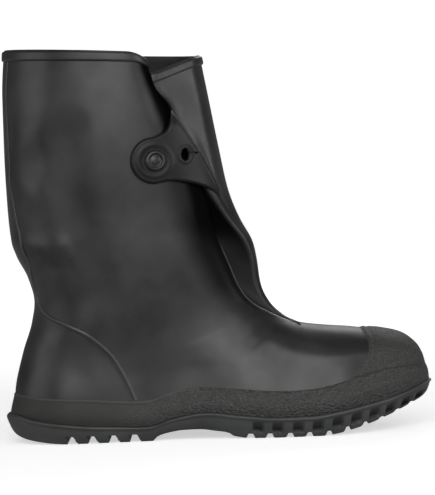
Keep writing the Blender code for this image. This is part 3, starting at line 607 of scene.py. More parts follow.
def front_detail(grid, places):
    """Rise over the near lip and the flap: a bead, and a groove beside the strap, each a bell."""
    at = np.asarray(places)[:, None]
    x, z = grid[..., 0], grid[..., 2]
    rise = BEAD_HEIGHT * near_bead(at)
    flap = slice(PANEL + LIP + WEB, OUTER)
    beyond = x[:, flap] - read(STRAP_CREASE, z[:, flap])
    beside = ease(*GROOVE_STARTS, z[:, flap]) * (1 - ease(*GROOVE_ENDS, z[:, flap]))
    rise[:, flap] -= beside * GROOVE_DEPTH * bell(beyond - GROOVE_BEYOND, GROOVE_WIDTH)
    return rise


def flap_face(grid):
    """How far the flap stands out: up to a flat face times the root of 1 - (1 - share)^3."""
    x, y, z = np.moveaxis(grid[:, OUTER - FLAP : OUTER], 2, 0)
    run = np.maximum(smooth(FRONT_Z[HEEL_CORNER::-1], FRONT_X[HEEL_CORNER::-1], z) - x, 0)
    share = np.clip(run / FACE_ROUND, 0, 1)
    face = (FACE_OUT + FACE_SLOPE * run) * np.sqrt(1 - (1 - share) ** 3)
    return ease(*FACE_STARTS, z) * np.maximum(face + y, 0)


out = normals_of(sheet)
rise = creased(sheet[..., 0], sheet[..., 2], sheet[..., 1])
rise[:, :PANEL] *= ease(0, BACK_COLUMNS, np.arange(PANEL))
sheet[:, OUTER - FLAP : OUTER, 1] -= flap_face(sheet)
sheet = relaxed(sheet + out * (rise + front_detail(sheet, places))[..., None], SHEET_RELAX)
print("largest rise %.2f mm, deepest %.2f mm" % (rise.max(), -rise.min()))

# %% [markdown]
# ## Painted shade in the folds
#
# Down in the gusset little light gets in, but soft lamps alone would leave it too pale, so
# shade is painted in: each point of the sheet carries a mark of painted shade, which makes the
# rubber blacker and takes its gloss away. It is 1 deep in the folds, easing out to 0 over the
# near panel and towards the flap's edge. The bead, which carries a painted highlight, stays out
# of the painted shade.

# %% Painted shade in the folds
# shade painted into the folds: its reach, where it is full, and its strength on web and flap
PAINTED_SHADE_REACH = {0.0: 17.0, 1.2: 20.0, 2.2: 40.0, 4.0: 43.0, 6.0: 38.0, 9.0: 26.0, 24.0: 10.0}
PAINTED_SHADE_FULL = 0.38
WEB_PAINTED_SHADE = {0.0: 1.0, 4.2: 1.0, 5.5: 0.82, 9.0: 0.78, 24.0: 0.7}
WEB_EDGE = 3
FLAP_PAINTED_SHADE = {0.0: 0.0, 5.5: 0.0, 6.5: 0.55, 11.0: 0.55, 13.0: 0.0, 24.0: 0.0}
# strength of the painted highlight on the near fold's bead; it also keeps painted shade off it
BEAD_PAINTED_HIGHLIGHT = 0.9


def sheltered(places):
    """Painted shade: 1 in the gusset, 0 outside, eased in over the near panel and out at the flap's edge.
    """
    at = np.asarray(places)[:, None]
    front_x, front_z, end_x, end_z = section_ends(at)
    run = outer_half(at, np.hypot(end_x - front_x, end_z - front_z))[0]
    past_fold = run[:, : PANEL + LIP] - gusset_column("near_fold", at)
    web_edge = 1 - ease(WEB - WEB_EDGE, WEB, np.arange(WEB))
    mark = np.zeros((len(at), OUTER + INNER))
    mark[:, : PANEL + LIP] = 1 - ease(PAINTED_SHADE_FULL, 1, past_fold / read(PAINTED_SHADE_REACH, at))
    mark[:, PANEL + LIP : OUTER - FLAP] = read(WEB_PAINTED_SHADE, at) * web_edge
    mark[:, OUTER - FLAP : OUTER] = read(FLAP_PAINTED_SHADE, at)
    return gusset_column("shelter", at) * mark * (1 - BEAD_PAINTED_HIGHLIGHT * near_bead(at))


shade = sheltered(places)
print("a share of %.2f of the sheet lies in shade" % np.mean(shade > 0.5))

# %% [markdown]
# ## The wall of the upper
#
# Solidify could thicken the sheet, but it would leave a square edge at the collar. Instead
# the inner face is the sheet moved in by the wall's thickness and relaxed, and a half circle
# of rows carries the one face over into the other. Down the back the two ends of the sheet
# meet and are welded, and along the feather line a narrow strip closes the wall.

# %% Upper
WALL, RIM_ROWS, INNER_RELAX = 2.0, 7, 6


def upper_wall(sheet, places):
    """Points and faces of the closed wall: outer rows upwards, rim, inner rows downwards."""
    out = normals_of(sheet)
    seam = np.asarray(places) <= HEEL_CORNER
    joined = out[seam][:, 0] + out[seam][:, -1]
    joined[:, 1] = 0
    joined /= np.linalg.norm(joined, axis=1, keepdims=True)
    out[np.flatnonzero(seam), 0] = out[np.flatnonzero(seam), -1] = joined
    inner = relaxed(sheet - WALL * out, INNER_RELAX)
    middle, half = (sheet[0] + inner[0]) / 2, (sheet[0] - inner[0]) / 2
    up = sheet[0] - sheet[1]
    up /= np.linalg.norm(up, axis=1, keepdims=True)
    angle = np.linspace(0, np.pi, RIM_ROWS + 2)[1:-1, None, None]
    rim = middle + half * np.cos(angle) + up * WALL / 2 * np.sin(angle)
    grid = np.concatenate([sheet[::-1], rim, inner])
    rows, columns = grid.shape[:2]
    faces = [grid_faces(rows, columns)]
    number = np.arange(rows * columns).reshape(rows, columns)
    open_rows = np.count_nonzero(~seam) + 1
    down, back = number[:open_rows], number[::-1][:open_rows]
    for near, far in ((down[:, 0], back[:, 0]), (back[:, -1], down[:, -1]), (back[0], down[0])):
        faces.append(np.stack([near[:-1], near[1:], far[1:], far[:-1]], axis=1))
    return grid, np.concatenate(faces)


def on_wall(mark):
    """A mark of the sheet, laid out like the wall: outer rows, rim rows and inner rows."""
    return np.concatenate([mark[::-1], np.repeat(mark[:1], RIM_ROWS, axis=0), mark])


# the upper carries the painted shade of the folds and the painted highlight on the near bead
upper = new_piece(
    "overshoe_upper",
    *upper_wall(sheet, places),
    sharp=70,
    shelter=on_wall(shade),
    rubbed=on_wall(BEAD_PAINTED_HIGHLIGHT * near_bead(places[:, None])),
)

# %% [markdown]
# ## Plates that lie on the upper
#
# Foxing, toe cap, counter, collar band and strap are thin rubber plates. A Shrinkwrap could
# press flat patches on the upper, but each is simply a patch of the upper's own skin here,
# lifted along its normals. The height over the skin follows the distance to the plate's rim:
# a bevel or a quarter circle rounds the edge off, and a narrow ridge inside it makes a bead.
# Where an edge should show a thin line of light, its points carry a painted highlight mark.

# %% Plate helpers
EDGE_SHARE = 0.12


def rim_distance(grid, rims):
    """Distance from every grid point to the nearest stretch of the given rim lines."""
    start = np.concatenate([line[:-1] for line in rims])
    run = np.concatenate([np.diff(line, axis=0) for line in rims])
    square = np.maximum(np.sum(run * run, axis=1), 1e-12)
    nearest = np.empty(grid.shape[:2])
    for i, row in enumerate(grid):
        to = row[:, None] - start
        share = np.clip(np.sum(to * run, axis=2) / square, 0, 1)
        nearest[i] = np.linalg.norm(to - share[..., None] * run, axis=2).min(axis=1)
    return nearest


def plate(name, grid, lift, height, out=None, wrap=False, settle=None, **marks):
    """A closed plate: its lower face lies at the lift, its upper face at lift plus height.

    settle may shift both faces after they are lifted, for a band that stands on the lip.
    """
    out = normals_of(grid, wrap) if out is None else out
    crease = creased(grid[..., 0], grid[..., 2], grid[..., 1])
    low = grid + out * (lift + crease)[..., None]
    high = grid + out * (lift + crease + height)[..., None]
    if settle is not None:
        low, high = settle(low, grid), settle(high, grid)
    rows, columns = grid.shape[:2]
    skin_faces = grid_faces(rows, columns, wrap)
    number = np.arange(rows * columns).reshape(rows, columns)
    if wrap:
        rims = [np.append(number[0], number[0, 0]), np.append(number[-1], number[-1, 0])[::-1]]
    else:
        rims = [np.concatenate([number[0], number[1:, -1], number[-1, -2::-1], number[-2::-1, 0]])]
    above = rows * columns
    faces = [skin_faces[:, ::-1], skin_faces + above]
    for line in rims:
        faces.append(np.stack([line[:-1], line[1:], line[1:] + above, line[:-1] + above], axis=1))
    points = np.concatenate([low.reshape(-1, 3), high.reshape(-1, 3)])
    both = {mark: np.tile(np.ravel(values), 2) for mark, values in marks.items()}
    return new_piece(name, points, np.concatenate(faces), **both)


def bevel(distance, first, first_run, second, second_run):
    """Height by distance to the rim: a short eased step, and a long eased swelling under it."""
    return first * ease(0, first_run, distance) + second * ease(0, second_run, distance)


def edge_profile(distance, thick, round_off):
    """Height by distance to the rim: thick times a quarter circle that starts at a small share."""
    return thick * (EDGE_SHARE + (1 - EDGE_SHARE) * rounding(distance / round_off))


def ridge(distance, height, at, width):
    """A bell of some height at a distance from the rim; a groove where the height is negative."""
    return height * bell(distance - at, width)


print("an edge 2 mm thick is %.2f mm high at its rim" % edge_profile(0.0, 2.0, 1.0))

# %% [markdown]
# ## The foxing band
#
# The foxing is the textured band that seals the upper to the sole. It wraps the whole foot,
# so its grid is a ring: round the shoe one way and from the lip to its top edge the other. It
# grows out level, and then settles with the slope of the lip, so that it never cuts into it.
# Round the toe its top edge is blunt, because the cap meets it there.

# %% Foxing
FOXING_TOP = {
    -150: 37.6, -140: 35.0, -127: 33.4, -98: 31.8, -77: 30.0, -57: 28.7, -48: 29.2, -37: 33.0,
    -27: 35.9, -13: 37.4, 16: 34.9, 49: 32.6, 65: 33.1, 82: 35.7, 92: 38.2, 107: 41.0, 118: 43.2,
    130: 44.3, 150: 44.5,
}
FOXING_LIFT_LOW, FOXING_LIFT_TOP = 0.75, 0.08
FOXING_BEVEL, FOXING_BEAD = (0.6, 1.3, 1.7, 16.0), (0.15, 1.5, 0.9)
# a painted highlight along the foxing's top edge, fading out towards the heel
FOXING_PAINTED_HIGHLIGHT, HIGHLIGHT_FADES = (0.35, 0.8, 1.1), (-40, 10)
MEETING_X, MEETING_INSIDE = (88, 108), 3.0
MEETING_BEVEL, MEETING_BEAD = (1.5, 3.0, 0.8, 16.0), (0.1, 1.0, 1.2)
LEAST_HEIGHT = 0.04
FOXING_AROUND = 260
FOXING_LEVELS = np.concatenate([np.linspace(-0.02, 0.72, 14), np.linspace(0.75, 1.0, 24)])


def band_row(level):
    """One line round the foot: a share of the way from the lip to the foxing's top edge."""
    def height(x):
        return (1 - level) * feather_height(x) + level * read(FOXING_TOP, x)

    start = float(back_line(height(UPPER_HEEL_X)))
    end = float(smooth(FRONT_Z[::-1], FRONT_X[::-1], height(UPPER_TOE_X)))
    x = (start + end) / 2 - (end - start) / 2 * np.cos(np.linspace(0, np.pi, FOXING_AROUND))
    outer, inner = skin(x, height(x), "outer"), skin(x, height(x), "inner")
    outer[[0, -1], 1] = 0.0
    return np.concatenate([outer, inner[1:-1][::-1]])


def settle_on_lip(points, grid):
    """Lifts a point that moved outwards by as much as the lip rises under that move."""
    points[..., 2] += read(SOLE_TOP, points[..., 0]) - read(SOLE_TOP, grid[..., 0])
    return points


foxing_grid = np.array([band_row(level) for level in FOXING_LEVELS])
level_out = normals_of(foxing_grid, wrap=True) * (1, 1, 0)
level_out /= np.linalg.norm(level_out, axis=2, keepdims=True)
from_top = np.cumsum(np.linalg.norm(np.diff(foxing_grid[::-1], axis=0), axis=2), axis=0)
from_top = np.concatenate([np.zeros((1, from_top.shape[1])), from_top])[::-1]
toe_share = ease(*MEETING_X, foxing_grid[..., 0])
foxing_height = bevel(from_top, *FOXING_BEVEL) + ridge(from_top, *FOXING_BEAD)
cap_meet = bevel(from_top + MEETING_INSIDE, *MEETING_BEVEL) + ridge(from_top, *MEETING_BEAD)
foxing_height = foxing_height * (1 - toe_share) + cap_meet * toe_share + LEAST_HEIGHT
foxing_lift = (FOXING_LIFT_LOW + (FOXING_LIFT_TOP - FOXING_LIFT_LOW) * FOXING_LEVELS)[:, None]
# painted highlight: a pale line along the top edge, fading out towards the heel
foxing_painted_highlight = ridge(from_top, *FOXING_PAINTED_HIGHLIGHT) * (1 - ease(*HIGHLIGHT_FADES, foxing_grid[..., 0]))
foxing = plate(
    "foxing_band",
    foxing_grid,
    foxing_lift,
    foxing_height,
    out=level_out,
    wrap=True,
    settle=settle_on_lip,
    rubbed=foxing_painted_highlight,
)

# %% [markdown]
# ## The toe cap
#
# The cap is an extra layer over the toe. A flat net of quads would pinch on such a round form,
# so its grid is a fan of arches that all spring from the two corners on the foxing and sweep
# forward over the toe. The rear edge bows towards the toe at the sides, which the bow term
# adds as one sine. A thin groove runs just inside that edge, and along the foxing the cap is
# held down so that the two meet flush.

# %% Toe cap
CAP_CORNER_X, CAP_RIDGE_X, CAP_BOW = 95.0, 104.5, 8.5
CAP_LIFT, CAP_GAP = 0.1, 0.06
CAP_BEVEL, CAP_GROOVE = (0.9, 2.6, 1.2, 14.0), (-0.4, 4.8, 1.3)
CAP_MEETS, CAP_SWELLS, CAP_SWELL_RUN = 1.62, 0.5, 7.0
CAP_ACROSS = 181
CAP_SWEEP = np.concatenate([np.linspace(0, 0.1, 12), np.linspace(0.12, 1, 68)])

cap_low = float(read(FOXING_TOP, UPPER_TOE_X)) + CAP_GAP
cap_end = float(smooth(FRONT_Z[::-1], FRONT_X[::-1], cap_low))
across = np.linspace(-1, 1, CAP_ACROSS)[None]
sweep = CAP_SWEEP[:, None]
share = across**2
cap_ridge = CAP_RIDGE_X + (cap_end - CAP_RIDGE_X) * np.sin(sweep * np.pi / 2)
cap_top = np.maximum(ridge_height(cap_ridge), cap_low)
cap_x = cap_ridge + (CAP_CORNER_X - cap_ridge) * share + CAP_BOW * (1 - sweep) * np.sin(np.pi * share)
cap_foot = read(FOXING_TOP, cap_x) + CAP_GAP
cap_z = cap_top + (cap_foot - cap_top) * share
cap_grid = both_sides(cap_x, cap_z, np.broadcast_to(across, cap_x.shape))
from_rear, from_foxing = (rim_distance(cap_grid, [cap_grid[row]]) for row in (0, -1))
cap_rise = bevel(from_rear, *CAP_BEVEL) + ridge(from_rear, *CAP_GROOVE) + LEAST_HEIGHT
cap_rise = np.minimum(cap_rise, CAP_MEETS + CAP_SWELLS * ease(0, CAP_SWELL_RUN, from_foxing))
toe_cap = plate("toe_cap_shell", cap_grid, CAP_LIFT, cap_rise)

# %% [markdown]
# ## Heel counter and backstay
#
# A stiffer layer wraps the heel and runs up the back as a narrow strip to the collar. It could
# be cut out of a larger patch, but a cut leaves ragged edges. So one line, read by height,
# gives its forward edge. Columns are set in millimetres from that edge, close together where
# the bead is, and then thin out towards the back.

# %% Heel counter
COUNTER_EDGE = {
    29: -53.5, 36: -57.0, 44: -60.8, 55: -67.7, 66: -76.6, 76: -87.5, 80: -93.6, 84.8: -103.4, 88.4: -110.7,
    91.5: -117.4, 96.5: -123.2, 103: -126.5, 131: -132.0, 143: -134.5, 160: -138.5, 189: -142.0,
    246: -143.0, 282: -140.0,
}
COUNTER_LIFT, COUNTER_THICK, COUNTER_ROUND = 0.08, 0.2, 1.4
# the counter's bead, and a painted highlight along it
COUNTER_BEAD, COUNTER_PAINTED_HIGHLIGHT = (0.42, 1.4, 1.5), (0.22, 1.2, 1.2)
BACKSTAY_FADES, BACKSTAY_FADE = (138.0, 165.0), 0.1
COUNTER_UNDER_COLLAR, COUNTER_SETTLES = 8.0, 25.0
EDGE_STEPS = np.array([0, 0.2, 0.4, 0.65, 0.9, 1.15, 1.4, 1.65, 1.9, 2.2, 2.6, 3.1])
INWARD_STEPS = 42

counter_low = float(read(FOXING_TOP, UPPER_HEEL_X)) + SEAT_GAP
counter_top = SECTION_TABLE[0, 3] - COUNTER_UNDER_COLLAR
low_levels, turn_levels = np.linspace(counter_low, 75, 40), np.linspace(76, 100, 44)
levels = np.concatenate([low_levels, turn_levels, np.linspace(102, counter_top, 80)])[:, None]
edge_x, back_x = read(COUNTER_EDGE, levels), back_line(levels)
inwards = np.linspace(0, 1, INWARD_STEPS)[1:]
near_edge = edge_x - EDGE_STEPS
to_back = back_x + (near_edge[:, -1:] - back_x) * (1 - inwards) ** 2
half_x = np.concatenate([near_edge, to_back], axis=1)
counter_x = np.concatenate([half_x, half_x[:, -2::-1]], axis=1)
counter_side = np.concatenate([-np.ones(half_x.shape[1] - 1), [0], np.ones(half_x.shape[1] - 1)])
settle_share = np.clip(1 - (levels - counter_low) / COUNTER_SETTLES, 0, 1)
counter_z = levels + settle_share * (read(FOXING_TOP, counter_x) + SEAT_GAP - counter_low)
counter_grid = both_sides(counter_x, counter_z, np.broadcast_to(counter_side, counter_x.shape))
from_edge = rim_distance(counter_grid, [counter_grid[:, 0], counter_grid[:, -1]])
counter_height = edge_profile(from_edge, COUNTER_THICK, COUNTER_ROUND) + ridge(from_edge, *COUNTER_BEAD)
counter_height *= 1 - BACKSTAY_FADE * ease(*BACKSTAY_FADES, counter_grid[..., 2])
# a painted highlight along the bead of the forward edge
counter_painted_highlight = ridge(from_edge, *COUNTER_PAINTED_HIGHLIGHT)
heel_counter = plate("heel_counter_shell", counter_grid, COUNTER_LIFT, counter_height, rubbed=counter_painted_highlight)

# %% [markdown]
# ## The collar band
#
# The collar is finished with a rolled band. A tube along the rim would be too round for it. It
# follows the top of the sheet from the flap round the inner side and the back to the near
# fold, so its grid is cut from the same sheet function, a few millimetres deep, and both of
# its edges are rounded off.

# %% Collar band
COLLAR_HEIGHT, COLLAR_LIFT, COLLAR_THICK, COLLAR_ROUND = 6.4, 0.15, 1.4, 1.8
COLLAR_ROWS, COLLAR_STOPS = 21, 14
collar_depth = COLLAR_HEIGHT / (SECTION_TABLE[0, 1] - SECTION_TABLE[1, 1])
collar_sheet = upper_sheet(np.linspace(0.0, collar_depth, COLLAR_ROWS))
collar_sheet[:, OUTER - FLAP : OUTER, 1] -= flap_face(collar_sheet)
collar_front, collar_back = collar_sheet[:, OUTER - FLAP :], collar_sheet[:, 1 : PANEL + LIP - COLLAR_STOPS]
collar_grid = np.concatenate([collar_front, collar_back], axis=1)
collar_rims = [collar_grid[0], collar_grid[-1], collar_grid[:, 0], collar_grid[:, -1]]
collar_rise = edge_profile(rim_distance(collar_grid, collar_rims), COLLAR_THICK, COLLAR_ROUND)
collar_band = plate("collar_roll", collar_grid, COLLAR_LIFT, collar_rise)

# %% [markdown]
# ## The strap's outline
#
# The strap grows out of the flap, crosses the gusset and ends in a half circle round the
# button. A flat outline could be filled and pressed on, but the fill would not follow the
# strap. So ribs run across it: a short table gives the low and the high end of each, and the
# half circle adds more.

# %% Strap outline
STRAP_RIBS = [
    (9.0, 166.5, -24.6, 235.5),
    (0.5, 175.6, -26.0, 229.5),
    (-9.4, 180.6, -28.0, 223.5),
    (-18.3, 183.0, -30.8, 219.6),
    (-29.0, 184.4, -34.0, 218.0),
]
ROOT_BOW, ROOT_BOW_RIBS = 2.2, 4
BUTTON_X, BUTTON_Z = -38.8, 199.5
STRAP_END_RADIUS, STRAP_END_RIBS = 16.6, 11
STRAP_ALONG, STRAP_ACROSS = 190, 90

turns = np.linspace(0, np.pi / 2, STRAP_END_RIBS)
end_x, end_rise = BUTTON_X - STRAP_END_RADIUS * np.sin(turns), STRAP_END_RADIUS * np.cos(turns)
end_ribs = np.stack([end_x, BUTTON_Z - end_rise, end_x, BUTTON_Z + end_rise], axis=1)
ribs = np.concatenate([STRAP_RIBS, end_ribs])
fine_ribs = np.linspace(0, len(ribs) - 1, STRAP_ALONG)
low_x, low_z, high_x, high_z = (smooth(np.arange(len(ribs)), c, fine_ribs)[:, None] for c in ribs.T)
width = (1 - np.cos(np.linspace(0, np.pi, STRAP_ACROSS)))[None] / 2
strap_x, strap_z = low_x + (high_x - low_x) * width, low_z + (high_z - low_z) * width
root_bow = ROOT_BOW * (1 - ease(0, ROOT_BOW_RIBS, fine_ribs))[:, None]
strap_x = strap_x + root_bow * np.sin(np.pi * width)
strap_grid = skin(strap_x, strap_z, "outer")
print("strap is %.0f mm long" % (strap_x.max() - strap_x.min()))

# %% [markdown]
# ## The strap's thickness
#
# The strap is thick with rounded sides, and thins out at its root, where it runs into the
# flap, and most of all at the root's two tips. Round the button the rubber is raised into a
# boss, and round the spare hole into a small rim. Each of these is a ridge at a distance from
# something, so they can simply be added up. A thin highlight is painted along the upper part
# of the root, and the rest of the strap gets painted shade at half strength, which darkens it
# and dims its gloss.

# %% Strap
STRAP_LIFT, STRAP_THICK, STRAP_ROUND = 0.9, 2.8, 2.2
# half strength painted shade on the strap, and a painted highlight along its root
STRAP_PAINTED_SHADE, STRAP_PAINTED_HIGHLIGHT = 0.5, 0.6
SPARE_X, SPARE_Z, SPARE_WIDE, SPARE_TALL = -18.0, 202.7, 3.4, 4.5
SPARE_RIM, BOSS = (0.45, 1.2, 1.6), (0.5, 11.2, 2.6)
ROOT_SHARE, ROOT_ROUND, ROOT_BEAD = 0.1, 2.8, (0.3, 2.0, 1.6)
ROOT_HIGHLIGHT, ROOT_HIGHLIGHT_STARTS = (1.0, 1.2, 1.4), (200, 214)
TIP_SHARE, TIP_RUN, TIP_LIFT_RUN = 0.15, 14, 12

from_button = np.hypot(strap_x - BUTTON_X, strap_z - BUTTON_Z)
from_spare = (np.hypot((strap_x - SPARE_X) / SPARE_WIDE, (strap_z - SPARE_Z) / SPARE_TALL) - 1) * SPARE_TALL
from_root = rim_distance(strap_grid, [strap_grid[0]])
low_tip, high_tip = STRAP_RIBS[0][:2], STRAP_RIBS[0][2:]
from_tips = [np.hypot(strap_x - tip_x, strap_z - tip_z) for tip_x, tip_z in (low_tip, high_tip)]
from_tip = np.minimum(*from_tips)
from_sides = rim_distance(strap_grid, [strap_grid[:, 0], strap_grid[:, -1]])
strap_rise = edge_profile(from_sides, STRAP_THICK, STRAP_ROUND)
strap_rise *= ROOT_SHARE + (1 - ROOT_SHARE) * rounding(from_root / ROOT_ROUND)
strap_rise += ridge(from_root, *ROOT_BEAD)
strap_rise += ridge(from_button, *BOSS)
strap_rise += ridge(from_spare, *SPARE_RIM)
strap_rise *= TIP_SHARE + (1 - TIP_SHARE) * ease(0, TIP_RUN, from_tip)
# a painted highlight along the upper part of the root; painted shade on the rest of the strap
strap_painted_highlight = ridge(from_root, *ROOT_HIGHLIGHT) * ease(*ROOT_HIGHLIGHT_STARTS, strap_z)
strap = plate(
    "strap_tab",
    strap_grid,
    STRAP_LIFT * ease(0, TIP_LIFT_RUN, from_tip),
    strap_rise,
    shelter=STRAP_PAINTED_SHADE * (1 - strap_painted_highlight),
    rubbed=STRAP_PAINTED_HIGHLIGHT * strap_painted_highlight,
)

# %% [markdown]
# ## The button
#
# The button is turned: a profile of radii and heights carried round an axis. Blender's Screw
# modifier does that too, but its result would still have to be stood on the skin. Here the
# place on the skin, and the direction straight out of it, are worked into the points.

# %% Button
BUTTON_PROFILE = {
    "foot": [(3.0, 0.35), (3.0, 4.0)],
    "under": [(6.6, 4.05), (7.2, 4.4), (7.5, 5.1)],
    "brim": [(7.45, 5.8), (7.2, 6.4), (6.7, 6.95), (6.1, 7.25), (5.5, 7.3)],
    "dish": [(5.1, 7.15), (4.8, 6.7), (4.5, 6.1), (4.0, 5.8)],
    "stud": [(3.4, 5.85), (2.9, 6.2), (2.4, 6.4), (0.0, 6.35)],
}
BUTTON_SIDES = 64


def standing(points, x, z):
    """Points made about the Z axis, stood on the outer skin at a place of the side view."""
    place = skin(x, z, "outer")
    along = skin(x + 1, z, "outer") - skin(x - 1, z, "outer")
    up = skin(x, z + 1, "outer") - skin(x, z - 1, "outer")
    normal = np.cross(along, up)
    normal /= np.linalg.norm(normal) * (1 if normal[1] < 0 else -1)
    along /= np.linalg.norm(along)
    return place + points @ np.stack([along, np.cross(normal, along), normal])


def turned(profile, segments):
    """A profile of (radius, height) carried round Z: a ring of points for each row."""
    angle = np.linspace(0, 2 * np.pi, segments, endpoint=False)
    radius, height = np.array(profile, float).T
    ring = np.stack([np.cos(angle), np.sin(angle), np.zeros(segments)], axis=1)
    return radius[:, None, None] * ring + height[:, None, None] * np.array([0, 0, 1])


def turned_piece(name, profile, segments, x, z):
    """A turned piece standing on the skin, closed at both ends by a point on its axis."""
    first, last = profile[0], profile[-1]
    rings = turned([(0.0, first[1]), *profile, (0.0, last[1])], segments)
    ring_faces = grid_faces(*rings.shape[:2], wrap=True)
    return new_piece(name, standing(rings.reshape(-1, 3), x, z), ring_faces, sharp=60)


button = turned_piece("strap_button", sum(BUTTON_PROFILE.values(), []), BUTTON_SIDES, BUTTON_X, BUTTON_Z)

# %% [markdown]
# ## Holes in the strap
#
# The strap has a hole for the button, a spare hole and a slit beside it. A hole is not a
# function on a grid, so here a Boolean is the right tool: each cutter is a round bar,
# stretched to an oval, that stands on the skin as the button does.

# %% Holes
HOLE_DEPTH, HOLE_SIDES = 8.0, 40
BUTTON_HOLE = 3.8
SLIT_LONG, SLIT_TALL, SLIT_AHEAD, SLIT_UP = 4.6, 0.6, 5.4, 0.8


def cut(piece, cutter):
    """Cuts one piece out of another for good, and removes the cutter."""
    boolean = piece.modifiers.new("hole", "BOOLEAN")
    boolean.operation, boolean.solver, boolean.object = "DIFFERENCE", "EXACT", cutter
    depsgraph = bpy.context.evaluated_depsgraph_get()
    mesh = bpy.data.meshes.new_from_object(piece.evaluated_get(depsgraph))
    piece.modifiers.clear()
    piece.data = mesh
    bpy.data.objects.remove(cutter)


def oval_cutter(name, wide, tall, x, z):
    """A round bar stretched to an oval, through the strap at a place of the side view."""
    bar = [(0, -HOLE_DEPTH), (1, -HOLE_DEPTH), (1, HOLE_DEPTH), (0, HOLE_DEPTH)]
    rings = turned(bar, HOLE_SIDES) * (wide, tall, 1)
    ring_faces = grid_faces(*rings.shape[:2], wrap=True)
    return new_piece(name, standing(rings.reshape(-1, 3), x, z), ring_faces)


cut(strap, oval_cutter("spare_hole", SPARE_WIDE, SPARE_TALL, SPARE_X, SPARE_Z))
cut(strap, oval_cutter("slit", SLIT_LONG, SLIT_TALL, SPARE_X + SLIT_AHEAD, SPARE_Z + SLIT_UP))
cut(strap, oval_cutter("button_hole", BUTTON_HOLE, BUTTON_HOLE, BUTTON_X, BUTTON_Z))
print("strap after cutting: %d faces" % len(strap.data.polygons))

# %% [markdown]
# ## Grooves and pockets of the tread
#
# Cross grooves leave lugs under heel and forefoot, and each forefoot lug has a pocket in its
# side. Booleans could cut them, but they would break up the even grid of the sole. So a groove
# is a place along the shoe where the tread line steps up, and a pocket is one where the side
# draws in. Towards the tip of the toe the grooves get shallower.

# %% Grooves and pockets
HEEL_GROOVES = (-105.6, -90.6, -75.6, -60.5)
FOREFOOT_GROOVES = (22.0, 35.6, 50.0, 63.7, 77.6, 90.8, 103.8, 115.8, 127.6, 138.4)
GROOVES = np.array([*HEEL_GROOVES, *FOREFOOT_GROOVES])
HEEL_GROOVE = {"mouth": 9.0, "floor": 5.4, "depth": 5.4}
TOE_GROOVE = {"mouth": 6.8, "floor": 3.2, "depth": 3.3}
TIP_FROM, TIP_TO, TIP_SHALLOW = 92.0, 118.0, 0.6
POCKET_AFTER, POCKET_WALL = 5.0, (2.0, 4.8)


def groove_rise(x):
    """How far the tread steps up at x: the groove's depth, eased from its mouth to its floor."""
    from_groove = np.abs(x[:, None] - GROOVES).min(axis=1)
    mouth, floor, depth = (np.where(x < 0, HEEL_GROOVE[size], TOE_GROOVE[size]) for size in HEEL_GROOVE)
    depth = depth * (1 - TIP_SHALLOW * ease(TIP_FROM, TIP_TO, x))
    return depth * (1 - ease(floor / 2, mouth / 2, from_groove))


def pocket(x):
    """1 where a forefoot lug has its side pocket, eased to 0 at the pocket's walls."""
    from_middle = np.abs(x[:, None] - np.array(FOREFOOT_GROOVES) - POCKET_AFTER).min(axis=1)
    return 1 - ease(*POCKET_WALL, from_middle)


print(len(GROOVES), "grooves, the heel's %.1f mm deep" % HEEL_GROOVE["depth"])

# %% [markdown]
# ## The side of the sole
#
# The side starts with a lip under the foxing, draws in below it and runs down to the lugs. At
# the back of the heel the lip is a fat bulge instead. An extrusion with a bevel would give the
# same side all round, so the side is a table here, one row for each point from the top down:
# its inset from the plan, its depth as a share of the sole's height, the most millimetres that
# may be, and its inset at the back of the heel. Below it a short second table, of inset and
# lift, rounds the lugs' lower edge.

# %% Side of the sole
SIDE = np.array([
    (3.4, 0.0, 0.0, 4.6),
    (2.0, 0.0, 0.0, 3.5),
    (1.2, 0.01, 0.1, 2.9),
    (0.6, 0.03, 0.3, 2.4),
    (0.2, 0.06, 0.7, 2.0),
    (0.0, 0.10, 1.2, 1.7),
    (0.1, 0.15, 1.8, 1.4),
    (0.4, 0.19, 2.3, 1.25),
    (0.9, 0.23, 2.8, 1.2),
    (1.3, 0.28, 3.3, 1.2),
    (1.5, 0.34, 4.0, 1.25),
    (1.7, 0.42, 5.0, 1.4),
    (1.9, 0.50, 6.0, 1.6),
    (2.2, 0.58, 7.2, 2.0),
    (2.6, 0.67, 8.6, 2.5),
    (3.1, 0.76, 10.0, 3.1),
    (3.7, 0.85, 11.6, 3.7),
])
LUG_EDGE = np.array([(4.4, 1.3), (4.7, 0.75), (5.2, 0.3), (5.9, 0.05), (7.0, 0.0)])
LUG_EDGE_MOST, SIDE_SLOPE = 0.15, 0.02
PLAN_REACH = 50.0
HEEL_BULGE = (0.86, 0.97)
POCKET_DEEP, POCKET_STARTS, POCKET_ENDS = 2.4, (3.0, 6.0), (9.2, 11.4)
# painted shade in the lugs' pockets, growing deeper down the side
POCKET_PAINTED_SHADE, POCKET_SHADE_DEPTHS = 0.85, (3.4, 8.6)


def sole_ring(share, inset, side):
    """Plan of the sole drawn in by an inset: x shrinks to its ends, y by the same share."""
    x = share * (LENGTH / 2 - inset)
    return x, SIDES[side] * sole_half_width(share * LENGTH / 2, side) * (1 - inset / PLAN_REACH)


